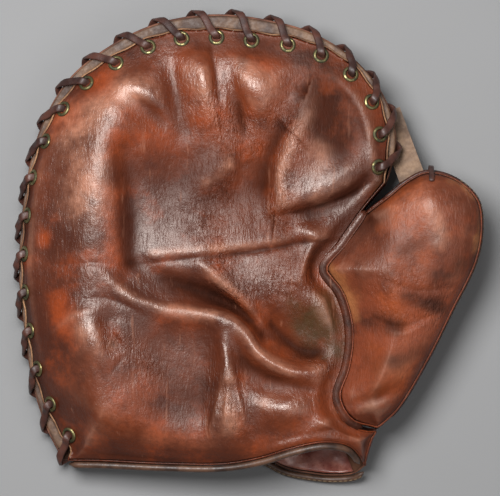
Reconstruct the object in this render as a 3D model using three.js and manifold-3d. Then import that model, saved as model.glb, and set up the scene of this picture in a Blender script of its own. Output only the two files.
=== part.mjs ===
// A first baseman's mitt of brown leather, lying on its back with the palm up.
//
// The mitt is two leather shells with room for a hand between them. The palm and the front of the
// thumb are padded and face up. The back and the back of the thumb face down, and the back is
// flattened where the mitt rests. A thong laces the shells together round the finger edge, through
// brass eyelets in the palm and plain holes in the back. The heel is open, and edged with binding.
//
// Millimetres, +Z up. +Y runs from the heel to the finger tips, and the thumb is on the +X side.
// The origin is on the floor, under the middle of the mitt.

import * as THREE from "three";
import { mergeVertices } from "three/addons/utils/BufferGeometryUtils.js";
import Module from "manifold-3d";

const wasm = await Module();
wasm.setup();

// Body: the part that holds the four fingers, without the thumb
const BODY_WIDTH = 243;
const BODY_HEIGHT = 292;
const PADDING_TOP = 45; // level of the padded palm above the floor, before its dents and rolls
const RIM_LIFT = 40; // highest level of the laced edge above the floor
const FOLD_HEIGHT = 10; // height that a dent or a roll of 100 percent has
const BOWL_RUN = 62; // distance over which the back curves up from the floor to its edge

// Thumb
const THUMB_LENGTH = 167;
const THUMB_BREADTH = 67;
const THUMB_LEAN = 17; // degrees that the thumb leans away from the body
const THUMB_TOP = 74; // level of the crest near the tip
const THUMB_ROOT_DROP = 14; // how much lower the crest is at the root
const THUMB_RISE = 18; // how far the underside of the tip stands off the floor
const THUMB_LIFT = 44; // highest level of the thumb's edge seam

// Leather and padding
const LEATHER = 2.6;
const BACK_LEATHER = 2.4;
const PALM_PADDING = 9;
const THUMB_PADDING = 6;
const PADDING_RUN = 26; // distance over which the padding grows to its full thickness
const HEM_WIDTH = 12; // flat margin along an edge, which takes the eyelets
const GAP = 0.3; // air between touching pieces

// Lacing
const EYELET_COUNT = 22;
const EYELET_HOLE = 6.2;
const EYELET_WALL = 0.7;
const EYELET_FLANGE = 10.4;
const EYELET_FLANGE_THICKNESS = 0.9;
const EYELET_SIDES = 8;
const EYELET_INSET = 7.4; // from the cut edge of the palm to the middle of the eyelet
const HOLE_INSET = 9.7; // from the cut edge of the back to the middle of its hole
const BACK_HOLE = 7;
const LACE_WIDTH = 4.4;
const LACE_THICKNESS = 1.8;
const FIRST_EYELET = 13; // distance along the laced edge from the heel corner
const LAST_EYELET = 9; // distance from the last eyelet to the crotch of the thumb

// Edges and seams
const PALM_STEP = 8.4; // how far at most the palm's cut edge lies inside the outline
const RIM_WELT_THICKNESS = 3;
const RIM_WELT_MARGIN = 0.4; // from the outline to the welt, where the palm has no step
const RIM_WELT_DRAW = 0.13; // share of the palm's step that the welt lies further in
const RIM_WELT_HOLD = 1.6; // hold of the welt under the palm's edge
const RIM_WELT_PITCH = 14; // spacing of the welt's corners
const SEAM_WELT = 2.6;
const THUMB_WELT = 3.2;
const THUMB_STEP = 2.2; // how far the front of the thumb lies inside its outline
const BINDING = 4.2;
const LINING = 1.2;
const LINING_DEPTH = 56; // how far the lining reaches in from the wrist
const LINING_WIDTH = 104;
const LINING_START = 10; // from the thumb side of the wrist opening
const LINING_INSET = 2; // from the edge of the back
const LINING_SLANT = 22; // how far the lining's thumb side leans towards the fingers

// Web between the thumb and the body
const WEB_WIDTH = 17;
const WEB_THICKNESS = 2.4;
const WEB_OVERLAP = 15; // hold of the web under the body and under the thumb
const WEB_AT_RIM = 34; // from the crotch along the laced edge to the middle of the web
const WEB_AT_THUMB = 38; // from the crotch along the thumb's edge to the middle of the web
const TIE_AT_THUMB = 51; // from the crotch along the thumb's edge to the tie
const TIE_REACH = 6; // how far the tie lies over the thumb, above and below its edge
const TIE_WIDTH = 3.4;
const TIE_THICKNESS = 1.8;

const PALM_GRID = 24;
const BACK_GRID = 14;
const THUMB_GRID = 12;
const THUMB_BACK_GRID = 10;
const EDGE_DRAW = 0.28; // share of a cell
const RELAX_ROUNDS = 120;
const SAMPLE_STEP = 2; // spacing of the points that stand for an outline
const SLOPE_STEP = 1.5; // distance over which a slope is measured
const SEAM_CELLS = 14; // grid cells along the seam of the thumb, on both of its sides
const UNDER_CELLS = 8; // the same for the seam between the backs

// across, up: percent of the body's width and height. lift: percent of RIM_LIFT. step: percent of
// PALM_STEP. tilt: degrees that the hem of the palm rises inward. roll: distance, in percent of
// the hem's width, over which the padding rises to its full height.
const RIM = [
  { across: 11.5, up: 1.5, lift: 40, step: 95, tilt: 35, roll: 330 },
  { across: 7.0, up: 9.0, lift: 42, step: 62, tilt: 44, roll: 300 },
  { across: 3.5, up: 18.5, lift: 45, step: 28, tilt: 54, roll: 270 },
  { across: 1.5, up: 29.5, lift: 49, step: 12, tilt: 60, roll: 250 },
  { across: 0.0, up: 41.5, lift: 52, step: 10, tilt: 62, roll: 235 },
  { across: 0.5, up: 53.5, lift: 56, step: 10, tilt: 62, roll: 235 },
  { across: 2.5, up: 65.5, lift: 62, step: 12, tilt: 60, roll: 250 },
  { across: 6.5, up: 76.5, lift: 70, step: 36, tilt: 50, roll: 280 },
  { across: 13.5, up: 86.0, lift: 77, step: 56, tilt: 38, roll: 310 },
  { across: 24.0, up: 93.0, lift: 83, step: 68, tilt: 26, roll: 340 },
  { across: 36.5, up: 98.0, lift: 87, step: 74, tilt: 18, roll: 350 },
  { across: 51.0, up: 100.0, lift: 90, step: 98, tilt: 14, roll: 350 },
  { across: 64.5, up: 99.0, lift: 92, step: 98, tilt: 14, roll: 350 },
  { across: 77.5, up: 96.0, lift: 95, step: 58, tilt: 15, roll: 360 },
  { across: 89.0, up: 90.0, lift: 98, step: 26, tilt: 18, roll: 360 },
  { across: 97.0, up: 81.5, lift: 100, step: 30, tilt: 24, roll: 350 },
  { across: 100.0, up: 72.0, lift: 100, step: 52, tilt: 26, roll: 330 },
  { across: 97.5, up: 62.5, lift: 98, step: 20, tilt: 36, roll: 260 },
];

// Seam between the palm and the thumb, from the crotch to the heel. under: percent of RIM_LIFT
// that the seam between the two backs has, below it.
const SEAM = [
  { across: 97.5, up: 62.5, lift: 98, under: 88, tilt: 35, roll: 260 },
  { across: 91.5, up: 56.5, lift: 88, under: 62, tilt: 30, roll: 200 },
  { across: 85.5, up: 49.5, lift: 78, under: 34, tilt: 20, roll: 180 },
  { across: 80.5, up: 44.0, lift: 76, under: 20, tilt: 12, roll: 170 },
  { across: 85.0, up: 38.5, lift: 82, under: 15, tilt: 8, roll: 170 },
  { across: 87.5, up: 30.5, lift: 86, under: 14, tilt: 8, roll: 170 },
  { across: 86.5, up: 22.5, lift: 92, under: 15, tilt: 12, roll: 170 },
  { across: 84.0, up: 16.0, lift: 100, under: 20, tilt: 20, roll: 170 },
  { across: 87.5, up: 10.5, lift: 100, under: 36, tilt: 20, roll: 150 },
  { across: 95.0, up: 8.5, lift: 76, under: 60, tilt: 25, roll: 150 },
];

// Side of the heel under the thumb, from the seam down to the corner of the wrist opening
const HEEL_SIDE = [
  { across: 95.0, up: 8.5, lift: 76, under: 60, tilt: 25, roll: 150 },
  { across: 93.5, up: 5.0, lift: 70, under: 54, tilt: 35, roll: 160 },
  { across: 92.0, up: 0.5, lift: 62, under: 44, tilt: 40, roll: 160 },
];

// Edge of the palm over the wrist opening, from the thumb side to the heel corner
const PALM_HEEL = [
  { across: 92.0, up: 0.5, lift: 62, tilt: 40, roll: 160 },
  { across: 87.5, up: 5.0, lift: 100, tilt: 38, roll: 170 },
  { across: 81.0, up: 6.0, lift: 114, tilt: 35, roll: 180 },
  { across: 72.0, up: 4.5, lift: 110, tilt: 38, roll: 200 },
  { across: 64.5, up: 2.5, lift: 98, tilt: 42, roll: 210 },
  { across: 54.5, up: 1.0, lift: 84, tilt: 46, roll: 220 },
  { across: 37.5, up: 1.0, lift: 68, tilt: 48, roll: 240 },
  { across: 22.0, up: 1.5, lift: 54, tilt: 45, roll: 270 },
  { across: 11.5, up: 1.5, lift: 40, tilt: 35, roll: 330 },
];

// Edge of the back under the wrist opening, from the thumb side to the heel corner
const BACK_HEEL = [
  { across: 92.0, up: 0.5, under: 44 },
  { across: 89.0, up: -1.5, under: 22 },
  { across: 83.0, up: -2.0, under: 14 },
  { across: 77.0, up: -1.5, under: 13 },
  { across: 71.0, up: -0.5, under: 13 },
  { across: 64.5, up: 2.0, under: 15 },
  { across: 54.5, up: 2.0, under: 16 },
  { across: 37.5, up: 1.5, under: 18 },
  { across: 22.0, up: 1.5, under: 22 },
  { across: 11.5, up: 1.5, under: 30 },
];

// Outer edge of the thumb, from the crotch round the tip to the root. along: percent of
// THUMB_LENGTH from the root. across: percent of THUMB_BREADTH. lift: percent of THUMB_LIFT.
const THUMB_EDGE = [
  { along: 87.5, across: -57.5, lift: 93 },
  { along: 94.5, across: -46.0, lift: 96 },
  { along: 100.5, across: -30.5, lift: 99 },
  { along: 102.0, across: -11.5, lift: 100 },
  { along: 100.5, across: 9.5, lift: 100 },
  { along: 96.0, across: 28.0, lift: 99 },
  { along: 86.0, across: 39.5, lift: 96 },
  { along: 73.0, across: 43.5, lift: 92 },
  { along: 53.0, across: 36.0, lift: 85 },
  { along: 32.0, across: 27.5, lift: 78 },
  { along: 10.0, across: 14.0, lift: 70 },
];

// Rolls and dents of the palm. reach: half width in percent of the body's width. path: percent of
// the body's width, percent of its height, and percent of FOLD_HEIGHT, along the fold.
const PALM_FOLDS = [
  { fold: "finger_roll", reach: 8.9, path: [[16.6, 76.6, 50], [16.1, 59.1, 65], [15.3, 45.5, 40]] },
  { fold: "finger_roll_crest", reach: 4.5, path: [
    [21.3, 80.1, 25], [17.6, 70.0, 30], [17.1, 58.0, 20],
  ] },
  { fold: "finger_slope", reach: 3.4, path: [[27.6, 70.0, -15], [29.5, 58.0, -25], [30.3, 46.4, -20]] },
  { fold: "pocket", reach: 18.4, path: [[44.2, 58.0, -50], [58.7, 58.0, -50]] },
  { fold: "tip_roll_1", reach: 5.3, path: [[30.5, 85.3, 30], [36.3, 81.0, 20]] },
  { fold: "tip_valley_1", reach: 2.9, path: [[39.7, 93.0, -8], [41.1, 85.3, -30], [43.2, 74.0, -15]] },
  { fold: "tip_ridge", reach: 3.4, path: [[45.5, 93.0, 20], [48.2, 85.3, 32], [50.0, 76.1, 12]] },
  { fold: "pocket_valley_1", reach: 2.6, path: [
    [57.4, 85.3, -18], [59.5, 75.5, -32], [59.5, 65.2, -10],
  ] },
  { fold: "tip_roll_2", reach: 5.5, path: [[60.0, 90.2, 30], [64.5, 84.9, 35], [68.2, 81.2, 15]] },
  { fold: "pocket_valley_2", reach: 3.2, path: [
    [75.0, 82.7, -18], [71.3, 76.1, -32], [66.1, 67.8, -30], [63.9, 59.5, -10],
  ] },
  { fold: "pocket_ridge", reach: 3.4, path: [
    [77.1, 78.3, 25], [73.9, 74.0, 40], [71.3, 67.8, 42], [69.5, 59.5, 22],
  ] },
  { fold: "index_plane", reach: 10.0, path: [[83.7, 79.9, 25], [84.5, 65.6, 20]] },
  { fold: "web_ridge", reach: 3.4, path: [
    [97.1, 72.2, 20], [88.2, 65.2, 45], [80.3, 61.7, 40], [71.8, 59.1, 25],
  ] },
  { fold: "web_valley", reach: 2.6, path: [
    [96.6, 65.2, -30], [88.2, 59.1, -40], [80.3, 56.5, -35], [71.3, 54.7, -15],
  ] },
  { fold: "cross_ridge", reach: 2.6, path: [[73.9, 53.0, 10], [80.3, 50.8, 22], [86.1, 51.2, 10]] },
  { fold: "sweep_valley", reach: 3.2, path: [
    [31.1, 43.8, -10], [37.6, 41.6, -30], [46.8, 39.2, -42], [53.4, 36.8, -46],
    [58.7, 33.9, -44], [62.9, 29.3, -20],
  ] },
  { fold: "sweep_ridge", reach: 2.9, path: [
    [21.3, 43.8, 8], [26.6, 39.8, 26], [31.6, 37.0, 32], [37.6, 35.2, 28], [46.8, 33.3, 24],
    [54.7, 32.4, 30], [59.2, 30.4, 36], [61.8, 27.4, 40], [66.1, 24.1, 42], [72.4, 21.9, 38],
    [79.7, 22.3, 20],
  ] },
  { fold: "pad_valley", reach: 2.9, path: [
    [64.5, 38.1, -8], [66.6, 33.3, -30], [69.7, 29.3, -40], [75.0, 26.5, -40], [80.8, 26.3, -15],
  ] },
  { fold: "thumb_pad", reach: 6.6, path: [[75.5, 33.7, -55], [78.7, 29.3, -55]] },
  { fold: "heel_mound", reach: 13.2, path: [[23.2, 20.8, 45], [38.9, 14.2, 35]] },
  { fold: "heel_mound_outer", reach: 6.3, path: [[14.5, 31.7, 30], [22.4, 27.4, 25]] },
  { fold: "heel_dent", reach: 2.6, path: [[23.9, 32.4, -15], [25.3, 27.6, -22]] },
  { fold: "heel_dip", reach: 3.7, path: [[48.9, 29.5, -12], [49.5, 19.7, -24], [48.2, 9.8, -10]] },
  { fold: "heel_rib", reach: 2.4, path: [
    [53.9, 29.8, 12], [55.3, 24.1, 32], [55.8, 17.1, 34], [56.6, 9.2, 8],
  ] },
  { fold: "heel_valley", reach: 2.6, path: [
    [58.2, 27.4, -16], [61.3, 22.1, -40], [67.9, 18.8, -46], [74.5, 17.5, -42],
    [82.4, 16.4, -15],
  ] },
  { fold: "heel_roll", reach: 5.3, path: [
    [61.3, 14.2, 25], [69.2, 12.9, 40], [76.1, 14.7, 35], [81.8, 16.2, 10],
  ] },
  { fold: "heel_fold", reach: 2.6, path: [
    [73.4, 6.3, 4], [79.7, 9.4, 25], [85.5, 11.2, 34], [90.3, 10.7, 28], [95.3, 8.3, 6],
  ] },
];

// Dents of the thumb, by the same columns: percent along the thumb and percent across it
const THUMB_FOLDS = [
  { fold: "thumb_crest", reach: 24, path: [[75, -5, 20], [60, 0, 20]] },
  { fold: "thumb_waist", reach: 12, path: [[30, -8, -55], [22, 10, -55]] },
  { fold: "thumb_heel_roll", reach: 12, path: [[12, -14, 35], [6, 2, 35]] },
];

const radians = THREE.MathUtils.degToRad;
const vec = (x, y, z) => new THREE.Vector3(x, y, z);

// A place on the body, from percent of its width and height
function bodyPlace(across, up) {
  return [(across / 100) * BODY_WIDTH, (up / 100) * BODY_HEIGHT];
}

const THUMB_ROOT = bodyPlace(SEAM.at(-1).across, SEAM.at(-1).up);

// A place on the thumb, from percent of its length and breadth
function thumbPlace(along, across) {
  const lean = radians(THUMB_LEAN);
  const forward = (along / 100) * THUMB_LENGTH;
  const aside = (across / 100) * THUMB_BREADTH;
  return [
    THUMB_ROOT[0] + forward * Math.sin(lean) + aside * Math.cos(lean),
    THUMB_ROOT[1] + forward * Math.cos(lean) - aside * Math.sin(lean),
  ];
}

// How far a place lies along the thumb, from 0 at the root to 1 at the tip
function shareAlongThumb(x, y) {
  const lean = radians(THUMB_LEAN);
  const forward = (x - THUMB_ROOT[0]) * Math.sin(lean) + (y - THUMB_ROOT[1]) * Math.cos(lean);
  return THREE.MathUtils.clamp(forward / THUMB_LENGTH, 0, 1);
}

// A smooth stretch of outline through rows of { x, y, lift, step, tilt, roll }, as even samples
function smoothStretch(rows) {
  const curve = new THREE.CatmullRomCurve3(
    rows.map((row) => vec(row.x, row.y, row.lift)), false, "centripetal");
  const count = Math.max(2, Math.round(curve.getLength() / SAMPLE_STEP));
  const samples = [];
  for (let i = 0; i <= count; i += 1) {
    const t = curve.getUtoTmapping(i / count);
    const point = curve.getPoint(t);
    const span = Math.min(Math.floor(t * (rows.length - 1)), rows.length - 2);
    const share = t * (rows.length - 1) - span;
    const between = (key) => THREE.MathUtils.lerp(rows[span][key], rows[span + 1][key], share);
    samples.push({
      x: point.x, y: point.y, lift: point.z,
      step: between("step"), tilt: between("tilt"), roll: between("roll"),
    });
  }
  return samples;
}

function bodyRows(table, liftKey) {
  return table.map((row) => {
    const [x, y] = bodyPlace(row.across, row.up);
    const lift = ((row[liftKey] ?? row.lift) / 100) * RIM_LIFT;
    const step = ((row.step ?? 0) / 100) * PALM_STEP;
    return { x, y, lift, step, tilt: row.tilt ?? 0, roll: ((row.roll ?? 0) / 100) * HEM_WIDTH };
  });
}

const CROTCH_ROW = 1; // row of SEAM where the thumb starts to touch the palm

function thumbRows(seamRows) {
  const rows = THUMB_EDGE.map((row) => {
    const [x, y] = thumbPlace(row.along, row.across);
    return { x, y, lift: (row.lift / 100) * THUMB_LIFT, step: 0, tilt: 62, roll: 0.38 * THUMB_BREADTH };
  });
  const joined = (row) => ({ ...row, tilt: 55, roll: 0.34 * THUMB_BREADTH });
  return [joined(seamRows[CROTCH_ROW]), ...rows, joined(seamRows.at(-1))];
}

// Moves each sample of a closed outline sideways, inward where the distance is positive
function insetOutline(samples, distanceAt) {
  const count = samples.length;
  return samples.map((sample, i) => {
    const before = samples[(i + count - 1) % count];
    const after = samples[(i + 1) % count];
    const along = vec(after.x - before.x, after.y - before.y, 0).normalize();
    const inset = distanceAt(sample);
    return { ...sample, x: sample.x + along.y * inset, y: sample.y - along.x * inset };
  });
}

// A closed outline from named stretches. Every sample keeps the name of its stretch.
function closedOutline(stretches) {
  return stretches.flatMap(({ name, samples }) =>
    samples.slice(0, -1).map((sample) => ({ ...sample, stretch: name })));
}

const rimRows = bodyRows(RIM, "lift");
const seamTop = bodyRows(SEAM, "lift");
const seamUnder = bodyRows(SEAM, "under");
const rimSamples = smoothStretch(rimRows);
const heelSideTop = smoothStretch(bodyRows(HEEL_SIDE, "lift"));
const heelSideUnder = smoothStretch(bodyRows(HEEL_SIDE, "under"));
const palmHeelSamples = smoothStretch(bodyRows(PALM_HEEL, "lift"));
const backHeelSamples = smoothStretch(bodyRows(BACK_HEEL, "under"));
const thumbEdgeSamples = smoothStretch(thumbRows(seamTop));

// A seam from the crotch down: the part beside the rim, and the part that the thumb shares
function splitSeam(samples, rows) {
  const crotch = rows[CROTCH_ROW];
  const distance = (sample) => Math.hypot(sample.x - crotch.x, sample.y - crotch.y);
  const nearest = samples.reduce((best, s, i) => (distance(s) < distance(samples[best]) ? i : best), 0);
  return { crotch: samples.slice(0, nearest + 1), shared: samples.slice(nearest) };
}

const topSeam = splitSeam(smoothStretch(seamTop), seamTop);
const underSeam = splitSeam(smoothStretch(seamUnder), seamUnder);

const STACK = RIM_WELT_THICKNESS / 2 + GAP; // from the middle of the rim's welt to each leather
const SEAM_SIDE = SEAM_WELT / 2 + GAP; // from the seam's line to each leather

const palmOutline = insetOutline(closedOutline([
  { name: "rim", samples: rimSamples },
  { name: "crotch", samples: topSeam.crotch },
  { name: "seam", samples: topSeam.shared },
  { name: "side", samples: heelSideTop },
  { name: "heel", samples: palmHeelSamples },
]), ({ step, stretch }) => step + { rim: 0, crotch: SEAM_SIDE, seam: SEAM_SIDE, side: 1, heel: 0 }[stretch]);

const backOutline = insetOutline(closedOutline([
  { name: "rim", samples: rimSamples.map((s) => ({ ...s, lift: s.lift - STACK })) },
  { name: "crotch", samples: underSeam.crotch },
  { name: "seam", samples: underSeam.shared },
  { name: "side", samples: heelSideUnder },
  { name: "heel", samples: backHeelSamples },
]), (sample) => ({ rim: 0, crotch: GAP, seam: GAP, side: 0, heel: 0 })[sample.stretch]);

const thumbFrontOutline = insetOutline(closedOutline([
  { name: "seam", samples: topSeam.shared.toReversed() },
  { name: "edge", samples: thumbEdgeSamples },
]), (sample) => ({ seam: SEAM_SIDE, edge: THUMB_STEP })[sample.stretch]);

const thumbBackOutline = insetOutline(closedOutline([
  { name: "seam", samples: underSeam.shared.toReversed() },
  { name: "edge", samples: thumbEdgeSamples },
]), (sample) => ({ seam: GAP, edge: 0 })[sample.stretch]);

// Distance to the outline, and the outline's own values near a place, weighted by closeness
function edgeValues(outline, x, y) {
  let nearest = Infinity;
  let total = 0;
  const sums = { lift: 0, tilt: 0, roll: 0 };
  outline.forEach((sample, i) => {
    const next = outline[(i + 1) % outline.length];
    const runX = next.x - sample.x;
    const runY = next.y - sample.y;
    const length2 = runX * runX + runY * runY || 1;
    const share = THREE.MathUtils.clamp(
      ((x - sample.x) * runX + (y - sample.y) * runY) / length2, 0, 1);
    const away2 = (x - sample.x - share * runX) ** 2 + (y - sample.y - share * runY) ** 2;
    nearest = Math.min(nearest, away2);
    const weight = Math.sqrt(length2) / (away2 * away2 + 1);
    total += weight;
    for (const key of Object.keys(sums)) {
      sums[key] += weight * THREE.MathUtils.lerp(sample[key], next[key], share);
    }
  });
  return {
    away: Math.sqrt(nearest), lift: sums.lift / total, tilt: sums.tilt / total, roll: sums.roll / total,
  };
}

// Sum of the folds at a place: each is a smooth ridge or valley along its path
function relief(x, y, folds, place, breadth) {
  let height = 0;
  for (const { reach, path } of folds) {
    let nearest = Infinity;
    let peak = 0;
    for (let i = 1; i < path.length; i += 1) {
      const [fromX, fromY] = place(path[i - 1][0], path[i - 1][1]);
      const [toX, toY] = place(path[i][0], path[i][1]);
      const [runX, runY] = [toX - fromX, toY - fromY];
      const share = THREE.MathUtils.clamp(
        ((x - fromX) * runX + (y - fromY) * runY) / (runX * runX + runY * runY), 0, 1);
      const away2 = (x - fromX - share * runX) ** 2 + (y - fromY - share * runY) ** 2;
      if (away2 < nearest) {
        nearest = away2;
        peak = THREE.MathUtils.lerp(path[i - 1][2], path[i][2], share);
      }
    }
    const halfWidth = (reach / 100) * breadth;
    height += (peak / 100) * FOLD_HEIGHT * Math.exp(-nearest / (halfWidth * halfWidth));
  }
  return height;
}

// Level of a padded shell: a straight hem at the edge, and then a round roll up to the crest
function paddedLevel(edge, crest) {
  const hemRun = HEM_WIDTH * Math.cos(radians(edge.tilt));
  const slope = Math.tan(radians(edge.tilt));
  if (edge.away <= hemRun) return edge.lift + edge.away * slope;
  const hemTop = edge.lift + hemRun * slope;
  const share = Math.min(1, (edge.away - hemRun) / Math.max(edge.roll - hemRun, 1));
  return hemTop + (crest - hemTop) * (1 - (1 - share) ** 2);
}

function palmLevel(x, y, folds) {
  const crest = PADDING_TOP + relief(x, y, folds, bodyPlace, BODY_WIDTH);
  return paddedLevel(edgeValues(palmOutline, x, y), crest) + STACK + LEATHER;
}

function thumbFrontLevel(x, y, folds) {
  const crest = THUMB_TOP - THUMB_ROOT_DROP * (1 - shareAlongThumb(x, y))
    + relief(x, y, folds, thumbPlace, THUMB_BREADTH);
  const edge = edgeValues(thumbFrontOutline, x, y);
  const share = Math.min(1, edge.away / Math.max(edge.roll, 1));
  const round = Math.sqrt(1 - (1 - share) ** 2);
  return edge.lift + STACK + LEATHER + (crest - edge.lift - STACK - LEATHER) * round;
}

// Outer level of the back: flat on the floor, and a bowl up to the edge
function backLevel(x, y) {
  const edge = edgeValues(backOutline, x, y);
  const share = Math.min(1, edge.away / BOWL_RUN);
  return Math.max(0, edge.lift - BACK_LEATHER) * (1 - share) ** 2;
}

function thumbBackLevel(x, y) {
  const edge = edgeValues(thumbBackOutline, x, y);
  const share = Math.min(1, edge.away / (0.45 * THUMB_BREADTH));
  const floor = THUMB_RISE * shareAlongThumb(x, y) ** 1.4;
  return floor + (edge.lift - STACK - BACK_LEATHER - floor) * (1 - share) ** 2;
}

// The places of a run of samples at even shares of it, without the last one
function evenPlaces(run, count) {
  return Array.from({ length: count }, (_, i) => {
    const at = (i / count) * (run.length - 1);
    const low = Math.floor(at);
    const mix = (key) => THREE.MathUtils.lerp(run[low][key], run[low + 1][key], at - low);
    return { x: mix("x"), y: mix("y"), lift: mix("lift"), stretch: run[0].stretch };
  });
}

// The boundary of a grid of cells n by n, as 4 n places shared out over the outline's stretches.
// The heel takes one whole side of the square.
function gridBoundary(outline, n, seamCells) {
  const stretches = [];
  outline.forEach((sample, i) => {
    if (i === 0 || sample.stretch !== outline[i - 1].stretch) stretches.push([]);
    stretches.at(-1).push(sample);
  });
  const runs = stretches.map((samples, i) => [...samples, stretches[(i + 1) % stretches.length][0]]);
  const fixed = { crotch: 2, seam: seamCells, side: 2, heel: n };
  const counts = runs.map((run) => fixed[run[0].stretch] ?? 0);
  const open = counts.indexOf(0);
  counts[open] = 4 * n - counts.reduce((a, b) => a + b, 0);
  return runs.flatMap((run, k) => evenPlaces(run, counts[k]));
}

// Evens out the cells of a grid with a fixed edge, so that none of them folds over
function relaxGrid(rows) {
  const n = rows.length - 1;
  for (let j = 1; j < n; j += 1) {
    for (let i = 1; i < n; i += 1) {
      const [west, east, south, north] = [rows[j][i - 1], rows[j][i + 1], rows[j - 1][i], rows[j + 1][i]];
      const [eastX, eastY] = [east.x - west.x, east.y - west.y];
      const [northX, northY] = [north.x - south.x, north.y - south.y];
      const alpha = northX ** 2 + northY ** 2 + 1e-6;
      const gamma = eastX ** 2 + eastY ** 2 + 1e-6;
      const beta = eastX * northX + eastY * northY;
      const even = (key) => {
        const cross = rows[j + 1][i + 1][key] - rows[j + 1][i - 1][key]
          - rows[j - 1][i + 1][key] + rows[j - 1][i - 1][key];
        return (alpha * (east[key] + west[key]) + gamma * (north[key] + south[key])
          - (beta / 2) * cross) / (2 * (alpha + gamma));
      };
      rows[j][i] = { x: even("x"), y: even("y") };
    }
  }
}

// Places of a square grid wrapped onto the outline: rings of the square follow the edge
function wrapGrid(outline, centre, core, n, seamCells) {
  const boundary = gridBoundary(outline, n, seamCells);
  const start = Math.atan2(boundary[0].y - centre[1], boundary[0].x - centre[0]);
  const rows = [];
  for (let j = 0; j <= n; j += 1) {
    const row = [];
    for (let i = 0; i <= n; i += 1) {
      const u = (2 * i) / n - 1;
      const v = (2 * j) / n - 1;
      const ring = Math.max(Math.abs(u), Math.abs(v));
      let lap = 0; // position round the square, clockwise from its lower left corner
      if (ring > 0) {
        if (-u === ring) lap = (v / ring + 1) / 2;
        else if (v === ring) lap = 1 + (u / ring + 1) / 2;
        else if (u === ring) lap = 2 + (1 - v / ring) / 2;
        else lap = 3 + (1 - u / ring) / 2;
      }
      const at = (lap * n) % (4 * n);
      const low = Math.floor(at);
      const a = boundary[low];
      const b = boundary[(low + 1) % (4 * n)];
      const angle = start - (lap / 4) * 2 * Math.PI;
      const pull = ring * ring;
      row.push({
        x: (1 - pull) * (centre[0] + ring * core * Math.cos(angle)) + pull * (a.x + (b.x - a.x) * (at - low)),
        y: (1 - pull) * (centre[1] + ring * core * Math.sin(angle)) + pull * (a.y + (b.y - a.y) * (at - low)),
      });
    }
    rows.push(row);
  }
  for (let round = 0; round < RELAX_ROUNDS; round += 1) relaxGrid(rows);
  return rows;
}

function solidGeometry(points, triangles) {
  const geometry = new THREE.BufferGeometry();
  geometry.setAttribute("position", new THREE.Float32BufferAttribute(points.flat(), 3));
  let volume = 0;
  for (const [a, b, c] of triangles) {
    volume += vec(...points[a]).dot(vec(...points[b]).cross(vec(...points[c])));
  }
  const facing = volume > 0 ? triangles : triangles.map(([a, b, c]) => [a, c, b]);
  geometry.setIndex(facing.flat());
  geometry.computeVertexNormals();
  return geometry;
}

// A leather shell between an outer and an inner surface. The inner grid takes every place of the
// outer grid where stride is 1. Where it is 2 it takes every second one, and its edge is drawn in
// a little, because a longer side cuts a bend shorter.
function shellSolid(grid, stride, outer, inner) {
  const points = [];
  const triangles = [];
  const outerId = grid.map((row) => row.map((place) => points.push(outer(place)) - 1));
  const share = stride === 2 ? EDGE_DRAW : 0;
  const inside = (i) => THREE.MathUtils.clamp(i, 1, grid.length - 2);
  const innerId = [];
  for (let j = 0; j < grid.length; j += stride) {
    const row = [];
    for (let i = 0; i < grid.length; i += stride) {
      const [edge, next] = [grid[j][i], grid[inside(j)][inside(i)]];
      const mix = (key) => THREE.MathUtils.lerp(edge[key], next[key], share);
      row.push(points.push(inner({ x: mix("x"), y: mix("y") })) - 1);
    }
    innerId.push(row);
  }
  const cells = (ids, flip) => {
    for (let j = 0; j < ids.length - 1; j += 1) {
      for (let i = 0; i < ids.length - 1; i += 1) {
        const [a, b, c, d] = [ids[j][i], ids[j][i + 1], ids[j + 1][i + 1], ids[j + 1][i]];
        const split = (i < ids.length / 2 - 0.5) === (j < ids.length / 2 - 0.5)
          ? [[a, b, c], [a, c, d]] : [[a, b, d], [b, c, d]];
        for (const [p, q, r] of split) triangles.push(flip ? [p, r, q] : [p, q, r]);
      }
    }
  };
  cells(outerId, false);
  cells(innerId, true);
  const ringOf = (ids) => {
    const last = ids.length - 1;
    const ring = [];
    for (let i = 0; i < last; i += 1) ring.push(ids[0][i]);
    for (let j = 0; j < last; j += 1) ring.push(ids[j][last]);
    for (let i = last; i > 0; i -= 1) ring.push(ids[last][i]);
    for (let j = last; j > 0; j -= 1) ring.push(ids[j][0]);
    return ring;
  };
  const outerRing = ringOf(outerId);
  const innerRing = ringOf(innerId);
  innerRing.forEach((here, k) => {
    const next = innerRing[(k + 1) % innerRing.length];
    const [a, b, c] = [0, 1, 2].map((step) => outerRing[(stride * k + step) % outerRing.length]);
    triangles.push([b, a, here], [here, next, b]);
    if (stride === 2) triangles.push([c, b, next]);
  });
  return solidGeometry(points, triangles);
}

// The unit normal of a surface given as a level over each place
function upNormal(level, x, y) {
  const slopeX = (level(x + SLOPE_STEP, y) - level(x - SLOPE_STEP, y)) / (2 * SLOPE_STEP);
  const slopeY = (level(x, y + SLOPE_STEP) - level(x, y - SLOPE_STEP)) / (2 * SLOPE_STEP);
  return vec(-slopeX, -slopeY, 1).normalize();
}

// Share of full padding at a place: none in the hem, all of it once past the roll
function paddingShare(outline, x, y) {
  const past = edgeValues(outline, x, y).away - 0.8 * HEM_WIDTH;
  const share = THREE.MathUtils.clamp(past / PADDING_RUN, 0, 1);
  return share * share * (3 - 2 * share);
}

const toManifold = (geometry) => {
  const bare = geometry.clone();
  bare.deleteAttribute("normal");
  bare.deleteAttribute("uv");
  const merged = mergeVertices(bare, 1e-4);
  return new wasm.Manifold(new wasm.Mesh({
    numProp: 3,
    vertProperties: new Float32Array(merged.attributes.position.array),
    triVerts: new Uint32Array(merged.index.array),
  }));
};

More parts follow.
